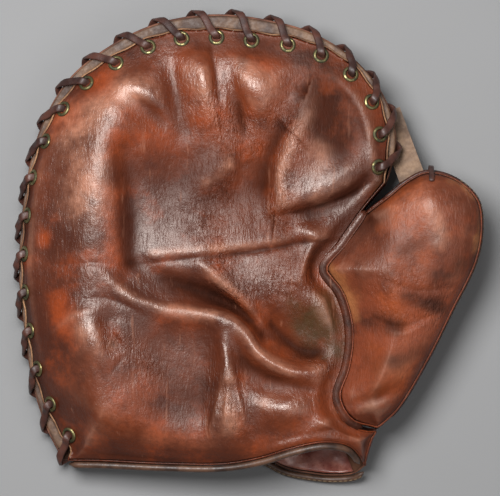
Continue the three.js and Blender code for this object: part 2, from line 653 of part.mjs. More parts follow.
const fromManifold = (solid) => {
  const mesh = solid.getMesh();
  const geometry = new THREE.BufferGeometry();
  geometry.setAttribute("position", new THREE.BufferAttribute(new Float32Array(mesh.vertProperties), 3));
  geometry.setIndex(new THREE.BufferAttribute(new Uint32Array(mesh.triVerts), 1));
  geometry.computeVertexNormals();
  return geometry;
};

function cut(geometry, cutters) {
  let solid = toManifold(geometry);
  for (const cutter of cutters) solid = solid.subtract(toManifold(cutter));
  return fromManifold(solid.simplify(0.02));
}

// A section swept through stations of { at, normal }. Section points are [aside, along the normal].
// A station may have a section of its own, with as many points.
function sweep(stations, section) {
  const last = stations.length - 1;
  const size = section.length;
  const points = [];
  const triangles = [];
  stations.forEach((station, i) => {
    const along = stations[Math.min(i + 1, last)].at.clone()
      .sub(stations[Math.max(i - 1, 0)].at).normalize();
    const normal = station.normal.clone().addScaledVector(along, -station.normal.dot(along)).normalize();
    const aside = along.clone().cross(normal);
    for (const [side, out] of station.section ?? section) {
      points.push(station.at.clone().addScaledVector(aside, side).addScaledVector(normal, out).toArray());
    }
  });
  for (let i = 0; i < last; i += 1) {
    for (let k = 0; k < size; k += 1) {
      const [a, b] = [i * size + k, i * size + ((k + 1) % size)];
      triangles.push([a, b, b + size], [a, b + size, a + size]);
    }
  }
  for (let k = 1; k < size - 1; k += 1) {
    triangles.push([0, k + 1, k], [last * size, last * size + k, last * size + k + 1]);
  }
  return solidGeometry(points, triangles);
}

const flatSection = (width, thickness) => [
  [-width / 2, -thickness / 2], [width / 2, -thickness / 2],
  [width / 2, thickness / 2], [-width / 2, thickness / 2],
];

const roundSection = (diameter, sides) => Array.from({ length: sides }, (_, k) => {
  const angle = ((k + 0.5) / sides) * 2 * Math.PI;
  return [(diameter / 2) * Math.cos(angle), (diameter / 2) * Math.sin(angle)];
});

// Length along a run of samples, and the sample and direction at a given length
function walk(samples) {
  const lengths = [0];
  for (let i = 1; i < samples.length; i += 1) {
    const step = Math.hypot(samples[i].x - samples[i - 1].x, samples[i].y - samples[i - 1].y);
    lengths.push(lengths[i - 1] + step);
  }
  const total = lengths.at(-1);
  const at = (length) => {
    const asked = THREE.MathUtils.clamp(length, 0, total);
    const i = Math.max(1, lengths.findIndex((value) => value >= asked));
    const share = (asked - lengths[i - 1]) / (lengths[i] - lengths[i - 1]);
    const [a, b] = [samples[i - 1], samples[i]];
    const mix = (key) => THREE.MathUtils.lerp(a[key], b[key], share);
    const along = vec(b.x - a.x, b.y - a.y, 0).normalize();
    return {
      x: mix("x"), y: mix("y"), lift: mix("lift"), step: mix("step"), tilt: mix("tilt"),
      along, out: vec(-along.y, along.x, 0),
    };
  };
  return { total, at };
}

// A strip through given places, moved outward and up
function strip(places, outward, rise, section) {
  const last = places.length - 1;
  return sweep(places.map((place, i) => {
    const before = places[Math.max(i - 1, 0)];
    const after = places[Math.min(i + 1, last)];
    const along = vec(after.x - before.x, after.y - before.y, 0).normalize();
    const at = vec(place.x - along.y * outward, place.y + along.x * outward, place.lift + rise);
    return { at, normal: vec(0, 0, 1) };
  }), section);
}

// The same along a run of samples, with one place at every step
function edgeStrip(samples, step, outward, rise, section) {
  const path = walk(samples);
  const count = Math.max(2, Math.round(path.total / step));
  const places = Array.from({ length: count + 1 }, (_, i) => path.at((i / count) * path.total));
  return strip(places, outward, rise, section);
}

// Palm and back
const palmCentre = bodyPlace(46, 30); // from here every part of the edge is in plain sight
const palmFull = (x, y) => palmLevel(x, y, PALM_FOLDS);
const palmPlain = (x, y) => palmLevel(x, y, PALM_FOLDS.filter((row) => row.reach > 5));

function innerPoint(level, outline, thickness, padding, sign) {
  return ({ x, y }) => {
    const upright = Math.min(1, edgeValues(outline, x, y).away / HEM_WIDTH);
    const normal = upNormal(level, x, y).multiply(vec(upright, upright, 1)).normalize();
    const depth = thickness + padding * paddingShare(outline, x, y);
    return vec(x, y, level(x, y)).addScaledVector(normal, sign * depth).toArray();
  };
}

function makePalm() {
  const grid = wrapGrid(palmOutline, palmCentre, 0.28 * BODY_WIDTH, PALM_GRID, SEAM_CELLS);
  return shellSolid(
    grid, 2,
    ({ x, y }) => [x, y, palmFull(x, y)],
    innerPoint(palmPlain, palmOutline, LEATHER, PALM_PADDING, -1));
}

function makeBack() {
  const grid = wrapGrid(backOutline, palmCentre, 0.28 * BODY_WIDTH, BACK_GRID, UNDER_CELLS);
  return shellSolid(
    grid, 1,
    ({ x, y }) => [x, y, backLevel(x, y)],
    innerPoint(backLevel, backOutline, BACK_LEATHER, 0, 1));
}

const thumbCentre = thumbPlace(50, -3);

function makeThumbFront() {
  const grid = wrapGrid(thumbFrontOutline, thumbCentre, 0.3 * THUMB_BREADTH, THUMB_GRID, SEAM_CELLS);
  return shellSolid(
    grid, 2,
    ({ x, y }) => [x, y, thumbFrontLevel(x, y, THUMB_FOLDS)],
    innerPoint((x, y) => thumbFrontLevel(x, y, []), thumbFrontOutline, LEATHER, THUMB_PADDING, -1));
}

function makeThumbBack() {
  const grid = wrapGrid(thumbBackOutline, thumbCentre, 0.3 * THUMB_BREADTH, THUMB_BACK_GRID, UNDER_CELLS);
  return shellSolid(
    grid, 1,
    ({ x, y }) => [x, y, thumbBackLevel(x, y)],
    innerPoint(thumbBackLevel, thumbBackOutline, BACK_LEATHER, 0, 1));
}

// The laced edge
const rimPath = walk(rimSamples);
const eyeletPitch = (rimPath.total - FIRST_EYELET - LAST_EYELET) / (EYELET_COUNT - 1);

// The edge's section at a length: middle of the hem's holes on the palm and on the back
function rimStation(length) {
  const s = rimPath.at(length);
  const tilt = radians(s.tilt);
  const place = (outward, up) => vec(s.x, s.y, s.lift + up).addScaledVector(s.out, outward);
  const palmIn = s.out.clone().multiplyScalar(-Math.cos(tilt)).setZ(Math.sin(tilt));
  const palmUp = s.out.clone().multiplyScalar(Math.sin(tilt)).setZ(Math.cos(tilt));
  const backDrop = Math.atan((2 * (s.lift - STACK - BACK_LEATHER)) / BOWL_RUN);
  const backIn = s.out.clone().multiplyScalar(-Math.cos(backDrop)).setZ(-Math.sin(backDrop));
  const backDown = s.out.clone().multiplyScalar(Math.sin(backDrop)).setZ(-Math.cos(backDrop));
  const palmEdge = place(-s.step, STACK + LEATHER);
  const backEdge = place(0, -STACK - BACK_LEATHER);
  return {
    step: s.step, tilt, place, palmIn, palmUp, backIn, backDown, palmEdge, backEdge,
    eyelet: palmEdge.clone().addScaledVector(palmIn, EYELET_INSET),
    hole: backEdge.clone().addScaledVector(backIn, HOLE_INSET),
  };
}

function latheAt(profile, place, axis) {
  const lathe = new THREE.LatheGeometry(profile.map(([r, y]) => new THREE.Vector2(r, y)), EYELET_SIDES);
  const turn = new THREE.Quaternion().setFromUnitVectors(vec(0, 1, 0), axis);
  return lathe.applyMatrix4(new THREE.Matrix4().compose(place, turn, vec(1, 1, 1)));
}

const barrelRadius = EYELET_HOLE / 2 + EYELET_WALL;
const barrelDepth = LEATHER + 0.6;

const eyeletProfile = [
  [EYELET_HOLE / 2, -barrelDepth], [barrelRadius, -barrelDepth], [barrelRadius, GAP],
  [EYELET_FLANGE / 2, GAP], [EYELET_HOLE / 2, GAP + EYELET_FLANGE_THICKNESS],
  [EYELET_HOLE / 2, -barrelDepth],
];

const seatProfile = [
  [0, -9], [barrelRadius + GAP, -9], [barrelRadius + GAP, 0],
  [EYELET_FLANGE / 2 + GAP + 0.2, 0], [EYELET_FLANGE / 2 + GAP + 0.2, 7], [0, 7],
];

const holeProfile = [[0, -8], [BACK_HOLE / 2, -8], [BACK_HOLE / 2, 8], [0, 8]];

function eyeletStations() {
  return Array.from({ length: EYELET_COUNT }, (_, i) => rimStation(FIRST_EYELET + i * eyeletPitch));
}

// The thong: out of each eyelet, over the edge towards the heel corner, and in through the back
function makeLace() {
  const lift = LACE_THICKNESS / 2 + 0.7;
  const overFlange = GAP + EYELET_FLANGE_THICKNESS + LACE_THICKNESS / 2 + 0.5;
  const stations = [];
  const add = (at, normal) => stations.push({ at, normal });
  const start = FIRST_EYELET + (EYELET_COUNT - 1) * eyeletPitch;
  for (let i = 0; i < EYELET_COUNT; i += 1) {
    const here = start - i * eyeletPitch;
    const at = (share) => rimStation(here - share * eyeletPitch);
    const s = at(0);
    const inward = s.palmIn;
    add(s.eyelet.clone().addScaledVector(s.palmUp, -LEATHER - 3.2), inward);
    add(s.eyelet.clone().addScaledVector(s.palmUp, 1.3).addScaledVector(inward, -0.1),
      inward.clone().multiplyScalar(2).add(s.palmUp));
    const near = at(0.07);
    add(near.eyelet.clone().addScaledVector(near.palmUp, overFlange + 0.9).addScaledVector(near.palmIn, -1.8),
      near.palmUp.clone().multiplyScalar(2).add(near.palmIn));
    const past = at(0.18);
    add(past.palmEdge.clone().addScaledVector(past.palmUp, lift + 0.9)
      .addScaledVector(past.palmIn, 1.8), past.palmUp);
    const over = at(0.34);
    const overIn = Math.min(1, over.step - (lift + 0.9) * Math.sin(over.tilt));
    add(over.place(-overIn, STACK + LEATHER + lift - 0.4 - 0.15 * over.step),
      vec(0, 0, 1).add(over.palmUp));
    const edge = at(0.46);
    const rimOut = LACE_THICKNESS / 2 + 0.7;
    add(edge.place(rimOut, 1), edge.place(1, 0.2).sub(edge.place(0, 0)));
    const corner = at(0.54);
    add(corner.place(rimOut + 0.6, -STACK - BACK_LEATHER), corner.place(1, -0.6).sub(corner.place(0, 0)));
    const under = at(0.64);
    add(under.backEdge.clone().addScaledVector(under.backDown, lift + 0.7)
      .addScaledVector(under.backIn, 0.8), under.backDown);
    const low = at(0.82);
    add(low.hole.clone().addScaledVector(low.backDown, lift + 0.5)
      .addScaledVector(low.backIn, -2.6), low.backDown);
    if (i === EYELET_COUNT - 1) break;
    const next = at(1);
    add(next.hole.clone().addScaledVector(next.backDown, lift + 0.2).addScaledVector(next.backIn, -0.4),
      next.backDown.clone().add(next.backIn));
    add(next.hole.clone().addScaledVector(next.backDown, -BACK_LEATHER - 2.2), next.backIn);
  }
  return sweep(stations, flatSection(LACE_WIDTH, LACE_THICKNESS));
}

// It fills the step between the palm's edge and the outline
function makeRimWelt() {
  const path = walk(rimSamples.slice(3, -6));
  const count = Math.round(path.total / RIM_WELT_PITCH);
  const stations = Array.from({ length: count + 1 }, (_, i) => {
    const s = path.at((i / count) * path.total);
    const outer = RIM_WELT_MARGIN + RIM_WELT_DRAW * s.step;
    const inner = s.step + RIM_WELT_HOLD;
    return {
      at: vec(s.x, s.y, s.lift).addScaledVector(s.out, -(outer + inner) / 2),
      normal: vec(0, 0, 1),
      section: flatSection(inner - outer, RIM_WELT_THICKNESS),
    };
  });
  return sweep(stations, stations[0].section);
}

// The piping between the palm and the front of the thumb. It turns where the leathers turn.
function makeSeamWelt() {
  const places = evenPlaces(topSeam.shared, SEAM_CELLS);
  return strip(places, 0, STACK + LEATHER + GAP, roundSection(SEAM_WELT, 6));
}

function makeThumbWelt() {
  const samples = thumbEdgeSamples.slice(7, -4);
  return edgeStrip(samples, 11, -THUMB_WELT / 2 + 2 * GAP, -GAP, roundSection(THUMB_WELT - 2 * GAP, 6));
}

// A binding follows the edge of its shell from corner to corner
function makeBinding(outline, n, seamCells, rise) {
  const places = gridBoundary(outline, n, seamCells).filter((place) => place.stretch === "heel");
  return strip(places.slice(1), BINDING / 2 + GAP, rise, roundSection(BINDING, 6));
}

// Leather that lines the back inside the wrist opening. It lies on the back's own facets.
function makeWristLining(back) {
  const caster = new THREE.Raycaster();
  const bed = new THREE.Mesh(back);
  const level = (x, y) => {
    caster.set(vec(x, y, 10 * PADDING_TOP), vec(0, 0, -1));
    return (caster.intersectObject(bed)[0]?.point.z ?? 0) + 3 * GAP;
  };
  const path = walk(backHeelSamples);
  const columns = 11;
  const deep = 4;
  const points = [];
  const side = (rise) => {
    const ids = [];
    for (let j = 0; j <= deep; j += 1) {
      const row = [];
      for (let i = 0; i <= columns; i += 1) {
        const s = path.at(LINING_START + (i / columns) * LINING_WIDTH);
        const x = s.x - (j / deep) * LINING_SLANT * (1 - i / columns);
        const y = s.y + LINING_INSET + (j / deep) * LINING_DEPTH;
        row.push(points.push([x, y, level(x, y) + rise]) - 1);
      }
      ids.push(row);
    }
    return ids;
  };
  const low = side(0);
  const high = side(LINING);
  const triangles = [];
  const quad = (a, b, c, d) => triangles.push([a, b, c], [a, c, d]);
  for (let j = 0; j < deep; j += 1) {
    for (let i = 0; i < columns; i += 1) {
      quad(high[j][i], high[j][i + 1], high[j + 1][i + 1], high[j + 1][i]);
      quad(low[j][i], low[j + 1][i], low[j + 1][i + 1], low[j][i + 1]);
    }
    quad(low[j][0], high[j][0], high[j + 1][0], low[j + 1][0]);
    quad(high[j][columns], low[j][columns], low[j + 1][columns], high[j + 1][columns]);
  }
  for (let i = 0; i < columns; i += 1) {
    quad(high[0][i], low[0][i], low[0][i + 1], high[0][i + 1]);
    quad(low[deep][i], high[deep][i], high[deep][i + 1], low[deep][i + 1]);
  }
  return solidGeometry(points, triangles);
}

// The web strap: from under the body's edge to under the tip of the thumb
const thumbPath = walk(thumbEdgeSamples);

function makeWebStrap() {
  const from = rimPath.at(rimPath.total - WEB_AT_RIM);
  const to = thumbPath.at(WEB_AT_THUMB);
  const start = vec(from.x, from.y, 0);
  const end = vec(to.x, to.y, 0);
  const along = end.clone().sub(start).normalize();
  const aside = vec(-along.y, along.x, 0);
  const lowest = (place, level) => Math.min(...[-0.5, -0.25, 0, 0.25, 0.5].map((share) =>
    level(place.x + aside.x * share * WEB_WIDTH, place.y + aside.y * share * WEB_WIDTH)));
  const underRim = LACE_THICKNESS + 4 * GAP + WEB_THICKNESS / 2;
  const underThumb = 3 * GAP + WEB_THICKNESS / 2;
  const place = (origin, length) => origin.clone().addScaledVector(along, length);
  const underBody = (length) => {
    const at = place(start, length);
    return at.setZ(lowest(at, backLevel) - underRim);
  };
  const underTip = (length) => {
    const at = place(end, length);
    return at.setZ(lowest(at, thumbBackLevel) - underThumb);
  };
  const bodyEnd = [-WEB_OVERLAP, -0.5 * WEB_OVERLAP, -0.07 * WEB_OVERLAP].map(underBody);
  const thumbEnd = [0.07 * WEB_OVERLAP, 0.5 * WEB_OVERLAP, WEB_OVERLAP].map(underTip);
  const middle = bodyEnd[2].clone().lerp(thumbEnd[0], 0.5);
  const stations = [...bodyEnd, middle, ...thumbEnd].map((at) => ({ at, normal: vec(0, 0, 1) }));
  return sweep(stations, flatSection(WEB_WIDTH, WEB_THICKNESS));
}

// The tie beside the web, over the edge of the thumb
function makeWebTie() {
  const s = thumbPath.at(TIE_AT_THUMB);
  const clear = TIE_THICKNESS / 2 + 3 * GAP;
  const seat = (inward, level, up) => {
    const x = s.x - s.out.x * inward;
    const y = s.y - s.out.y * inward;
    const normal = upNormal(level, x, y).multiplyScalar(up);
    return { at: vec(x, y, level(x, y)).addScaledVector(normal, clear), normal };
  };
  const front = (x, y) => thumbFrontLevel(x, y, THUMB_FOLDS);
  const beside = (up) => ({
    at: vec(s.x, s.y, s.lift + up).addScaledVector(s.out, clear + GAP), normal: s.out,
  });
  return sweep([
    seat(TIE_REACH + THUMB_STEP, front, 1), seat(0.5 * TIE_REACH + THUMB_STEP, front, 1),
    beside(STACK + LEATHER), beside(-STACK - BACK_LEATHER),
    seat(0.5 * TIE_REACH, thumbBackLevel, -1), seat(TIE_REACH, thumbBackLevel, -1),
  ], flatSection(TIE_WIDTH, TIE_THICKNESS));
}

// Leather materials, from the colours of the worn mitt
const leather = (color, roughness) => new THREE.MeshStandardMaterial({ color, roughness, metalness: 0 });
const palmLeather = leather(0x6b2a14, 0.42);
const backLeatherLook = leather(0x5c2713, 0.5);
const edgeLeather = leather(0x8a5c3a, 0.7);
const weltLeather = leather(0x3a1c12, 0.5);
const laceLeather = leather(0x4a2a20, 0.5);
const liningLeather = leather(0x8c5444, 0.6);
const webLeather = leather(0x8a6d56, 0.7);
const brass = new THREE.MeshStandardMaterial({ color: 0x9a8040, roughness: 0.35, metalness: 1 });

const mitt = new THREE.Group();

function addPiece(name, geometry, material) {
  const mesh = new THREE.Mesh(geometry, material);
  mesh.name = name;
  mitt.add(mesh);
}

const eyelets = eyeletStations();
const seats = eyelets.map((s) => latheAt(seatProfile, s.eyelet, s.palmUp));
const holes = eyelets.map((s) => latheAt(holeProfile, s.hole, s.backDown));

addPiece("palm", cut(makePalm(), seats), palmLeather);
const backShell = makeBack();
addPiece("back", cut(backShell, holes), backLeatherLook);
addPiece("thumb_front", makeThumbFront(), palmLeather);
addPiece("thumb_back", makeThumbBack(), backLeatherLook);
eyelets.forEach((s, i) => {
  const name = `eyelet_${String(i + 1).padStart(2, "0")}`;
  addPiece(name, latheAt(eyeletProfile, s.eyelet, s.palmUp), brass);
});
addPiece("rim_lace", makeLace(), laceLeather);
addPiece("rim_welt", makeRimWelt(), edgeLeather);
addPiece("seam_welt", makeSeamWelt(), weltLeather);
addPiece("thumb_welt", makeThumbWelt(), weltLeather);
addPiece("palm_binding", makeBinding(palmOutline, PALM_GRID, SEAM_CELLS, STACK + LEATHER / 2), weltLeather);
addPiece("back_binding", makeBinding(backOutline, BACK_GRID, UNDER_CELLS, -BACK_LEATHER / 2), edgeLeather);
addPiece("wrist_lining", makeWristLining(backShell), liningLeather);
addPiece("web_strap", makeWebStrap(), webLeather);
addPiece("web_tie", makeWebTie(), weltLeather);

// The origin goes to the floor under the middle of the mitt
const box = new THREE.Box3().setFromObject(mitt, true);
const middle = box.getCenter(new THREE.Vector3());
mitt.position.set(-middle.x, -middle.y, -box.min.z);

export default mitt;
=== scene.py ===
"""A worn first baseman's mitt of brown leather, lying on its back with the palm up.

Shapes are worked out in millimetres on a flat plan, and turned into metres when a mesh is made.
The plan's origin is the lower left corner of the mitt's body, +Y runs from the heel to the finger
tips, and the thumb is on the +X side. Folds and stains are placed on a chart of the plan: u to the
right and v down, 0.64 mm a unit.
"""

import bpy
import numpy as np
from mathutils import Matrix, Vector


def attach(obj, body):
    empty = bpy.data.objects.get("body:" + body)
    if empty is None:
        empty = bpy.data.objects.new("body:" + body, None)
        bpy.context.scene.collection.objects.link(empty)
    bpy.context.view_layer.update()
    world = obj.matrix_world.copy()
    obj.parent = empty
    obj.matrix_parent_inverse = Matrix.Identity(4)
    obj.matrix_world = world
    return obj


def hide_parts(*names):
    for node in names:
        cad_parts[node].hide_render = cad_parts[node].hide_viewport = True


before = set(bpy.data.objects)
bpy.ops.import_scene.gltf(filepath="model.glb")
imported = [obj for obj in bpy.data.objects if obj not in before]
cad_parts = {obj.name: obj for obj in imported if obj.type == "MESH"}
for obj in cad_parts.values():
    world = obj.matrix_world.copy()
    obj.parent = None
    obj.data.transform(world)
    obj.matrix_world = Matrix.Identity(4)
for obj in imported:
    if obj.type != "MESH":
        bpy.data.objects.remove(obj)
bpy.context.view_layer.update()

# Sizes in millimetres. ORIGIN: where the part's origin lies on the plan.
ORIGIN = np.array([147.248, 142.682])
BODY_WIDTH, BODY_HEIGHT = 243.0, 292.0
PADDING_TOP, RIM_LIFT, BOWL_RUN = 45.0, 40.0, 62.0
THUMB_LENGTH, THUMB_BREADTH, THUMB_LEAN = 167.0, 67.0, np.radians(17)
THUMB_TOP, THUMB_ROOT_DROP, THUMB_RISE, THUMB_LIFT = 67.0, 9.0, 18.0, 44.0
THUMB_BOWL_RUN, THUMB_CURVE = 0.45 * THUMB_BREADTH, 1.4
LEATHER, BACK_LEATHER, PALM_PADDING, THUMB_PADDING = 2.6, 2.4, 9.0, 6.0
HEM_WIDTH, GAP, PALM_STEP, EDGE_ROUND = 12.0, 0.3, 8.4, 1.1
EYELET_COUNT, EYELET_INSET, HOLE_INSET, FIRST_EYELET, LAST_EYELET = 22, 7.4, 9.7, 13.0, 9.0
EYELET_SIDES, EYELET_TOP = 28, 1.3
LACE_WIDTH, LACE_THICKNESS = 4.4, 1.8
THUMB_WELT, PIPING_WIDTH, PIPING_HEIGHT, BINDING = 3.2, 2.9, 3.7, 4.2
STITCH_PITCH, STITCH_LENGTH, STITCH_THICKNESS = 3.4, 2.2, 0.7
TIE_PLACE, TIE_WIDTH, TIE_THICKNESS = 51, 3.4, 1.8
# From the middle of the laced edge to the leathers above and below it, and from the seam to the cut
# edges beside it
STACK, SEAM_SIDE = 1.8, 1.6
# Run of the thumb's rise, from its seam and from its outer edge
SEAM_ROLL, EDGE_ROLL = 40.0, 27.0
# How full the thumb's padding is where its edge meets the seam
JOIN_FULLNESS = 0.6
# Forms wider than BROAD_FORM shape the padding's inner side too. The gains multiply the heights of
# the forms and folds below.
BROAD_FORM, FORM_GAIN, FOLD_GAIN = 18, 1.3, 0.7
# The chart's place of the plan's origin, and the body's size on the chart
CHART_LEFT, CHART_FOOT, CHART_WIDTH, CHART_HEIGHT = 17, 470, 380, 457

# Outlines. across, up: percent of the body's width and height. lift: percent of RIM_LIFT.
# step: how far the palm's cut edge lies inside the outline, in percent of PALM_STEP. tilt: rise of
# the hem inward, in degrees. roll: run of the padding's rise, in percent of the hem.
RIM = [
    # across, up, lift, step, tilt, roll
    (11.5, 1.5, 40, 95, 35, 330), (7.0, 9.0, 42, 62, 44, 300), (3.5, 18.5, 45, 28, 54, 400),
    (1.5, 29.5, 49, 12, 60, 430), (0.0, 41.5, 52, 10, 62, 460), (0.5, 53.5, 56, 10, 62, 460),
    (2.5, 65.5, 62, 12, 60, 430), (6.5, 76.5, 70, 36, 50, 400), (13.5, 86.0, 77, 56, 38, 310),
    (24.0, 93.0, 83, 68, 26, 340), (36.5, 98.0, 87, 74, 18, 350), (51.0, 100.0, 90, 98, 14, 350),
    (64.5, 99.0, 92, 98, 14, 350), (77.5, 96.0, 95, 58, 15, 360), (89.0, 90.0, 98, 26, 18, 360),
    (97.0, 81.5, 100, 30, 24, 350), (100.0, 72.0, 100, 52, 26, 330), (97.5, 62.5, 98, 20, 36, 260),
]
SEAM = [
    # across, up, lift, lift under it, tilt, roll
    (97.5, 62.5, 98, 88, 35, 260), (91.5, 56.5, 92, 62, 26, 200), (85.5, 49.5, 90, 34, 16, 180),
    (80.5, 44.0, 90, 20, 8, 170), (85.0, 38.5, 94, 15, 6, 170), (87.5, 30.5, 97, 14, 6, 170),
    (86.5, 22.5, 98, 15, 10, 170), (84.0, 16.0, 100, 20, 20, 170), (87.5, 10.5, 100, 36, 20, 150),
    (95.0, 8.5, 76, 60, 25, 150),
]
HEEL_SIDE = [
    (95.0, 8.5, 76, 60, 25, 150), (93.5, 5.0, 70, 54, 35, 160), (92.0, 0.5, 62, 44, 40, 160),
]
PALM_HEEL = [
    # across, up, lift, tilt, roll
    (92.0, 0.5, 62, 40, 160), (87.5, 5.0, 100, 38, 170), (81.0, 6.0, 114, 35, 180),
    (72.0, 4.5, 110, 38, 200), (64.5, 2.5, 98, 42, 210), (54.5, 1.0, 84, 46, 220),
    (37.5, 1.0, 68, 48, 240), (22.0, 1.5, 54, 45, 270), (11.5, 1.5, 40, 35, 330),
]
BACK_HEEL = [
    # across, up, lift
    (92.0, 0.5, 44), (89.0, -1.5, 22), (83.0, -2.0, 14), (77.0, -1.5, 13), (71.0, -0.5, 13),
    (64.5, 2.0, 15), (54.5, 2.0, 16), (37.5, 1.5, 18), (22.0, 1.5, 22), (11.5, 1.5, 30),
]
THUMB_EDGE = [
    # percent along the thumb, percent across it, percent of THUMB_LIFT
    (87.5, -57.5, 93), (94.5, -46.0, 96), (100.5, -30.5, 99), (102.0, -11.5, 100),
    (100.5, 9.5, 100), (96.0, 28.0, 99), (86.0, 39.5, 96), (73.0, 43.5, 92), (53.0, 36.0, 85),
    (32.0, 27.5, 78), (10.0, 14.0, 70),
]

# Broad rolls and dents on the chart: half width, (u, v, height in mm) along the form, and its kind
# unless it is round. A lean one is wide on its left and steep on its right, for one who looks down
# the chart along it.
PALM_FORMS = [
    (42, [(104, 112, 5.0), (100, 180, 6.5), (92, 262, 4.0)]),
    (14, [(126, 150, -2.0), (133, 205, -3.0), (136, 258, -2.4)]),
    (60, [(178, 192, -5.2), (245, 202, -5.0)]), (22, [(128, 82, 3.2), (150, 98, 2.0)]),
    (11, [(112, 90, -1.0), (135, 106, -2.4), (160, 122, -1.2)]),
    (15, [(168, 50, -0.8), (174, 85, -2.2), (183, 125, -1.5)]),
    (18, [(200, 40, 1.8), (207, 68, 3.8), (214, 102, 1.8)], "lean"),
    (6, [(207, 32, -0.6), (212, 60, -1.8), (217, 92, -1.4), (220, 112, 0)]),
    (14, [(228, 60, -1.2), (238, 110, -2.2), (243, 160, -1.0)]),
    (27, [(272, 112, 1.8), (252, 90, 4.4), (238, 54, 3.2)], "lean"),
    (17, [(296, 92, -1.4), (276, 130, -2.4), (262, 180, -1.8)]),
    (18, [(277, 206, 2.6), (285, 160, 4.2), (303, 104, 2.4)], "lean"),
    (22, [(340, 100, -1.8), (345, 140, -1.2)]),
    (18, [(188, 196, 1.6), (213, 174, 2.8), (240, 148, 1.6)]),
    (26, [(205, 232, 2.2), (235, 228, 2.0)]),
    (15, [(386, 140, 1.5), (352, 170, 3.0), (322, 186, 2.4), (290, 202, 1.6)]),
    (11, [(384, 172, -2.4), (352, 200, -3.2), (322, 212, -3.0), (288, 222, -1.5)]),
    (10, [(298, 228, 1.0), (322, 238, 2.2), (344, 236, 1.0)]),
    (13, [(135, 270, -1.0), (160, 280, -2.6), (195, 291, -3.6), (220, 300, -3.8), (240, 308, -3.4),
        (262, 330, -2.0)]),
    (12, [(98, 270, 0.3), (118, 288, 1.3), (137, 301, 1.8), (160, 309, 1.8), (195, 312, 2.3),
        (225, 316, 3.3), (243, 330, 4.0), (256, 350, 4.2), (270, 362, 4.4), (292, 371, 4.0),
        (322, 369, 2.4)], "lean"),
    (12, [(262, 296, -0.8), (268, 318, -2.6), (280, 338, -3.4), (302, 352, -3.2),
        (322, 352, -1.2)]),
    (22, [(300, 330, -4.4), (318, 342, -3.8)]), (15, [(324, 288, 1.6), (333, 316, 1.0)]),
    (9, [(200, 262, 0.8), (220, 280, 2.2), (242, 300, 2.4), (260, 318, 1.2)]),
    (7, [(315, 242, 1.2), (310, 258, 3.4), (301, 280, 1.4)]),
    (46, [(88, 350, 4.5), (110, 392, 2.5)]), (36, [(172, 350, -3.0), (180, 395, -3.0)]),
    (24, [(76, 322, 3.0), (104, 340, 2.5)]), (10, [(108, 322, -1.5), (113, 344, -2.2)]),
    (14, [(203, 335, -1.2), (205, 380, -2.4), (200, 425, -1.0)]),
    (10, [(222, 330, 1.0), (226, 352, 3.0), (228, 376, 2.6)]),
    (19, [(226, 385, 2.6), (228, 415, 4.4), (230, 440, 1.4)]),
    (13, [(240, 352, -1.4), (256, 374, -2.8), (280, 386, -3.0), (305, 392, -2.2)]),
    (25, [(262, 404, 2.6), (288, 408, 5.0), (312, 404, 3.4)]),
    (10, [(296, 441, 0.4), (320, 427, 2.5), (342, 419, 3.4), (360, 421, 2.8), (379, 432, 0.6)]),
]
THUMB_FORMS = [
    (16, [(428, 205, 1.2), (436, 242, 1.2)]),
    (20, [(372, 312, -1.8), (402, 318, -2.2), (436, 305, -1.5)]),
    (10, [(352, 402, -1.5), (376, 396, -2.6), (398, 386, -1.0)]),
    (10, [(356, 414, 1.2), (380, 404, 1.2)]),
]

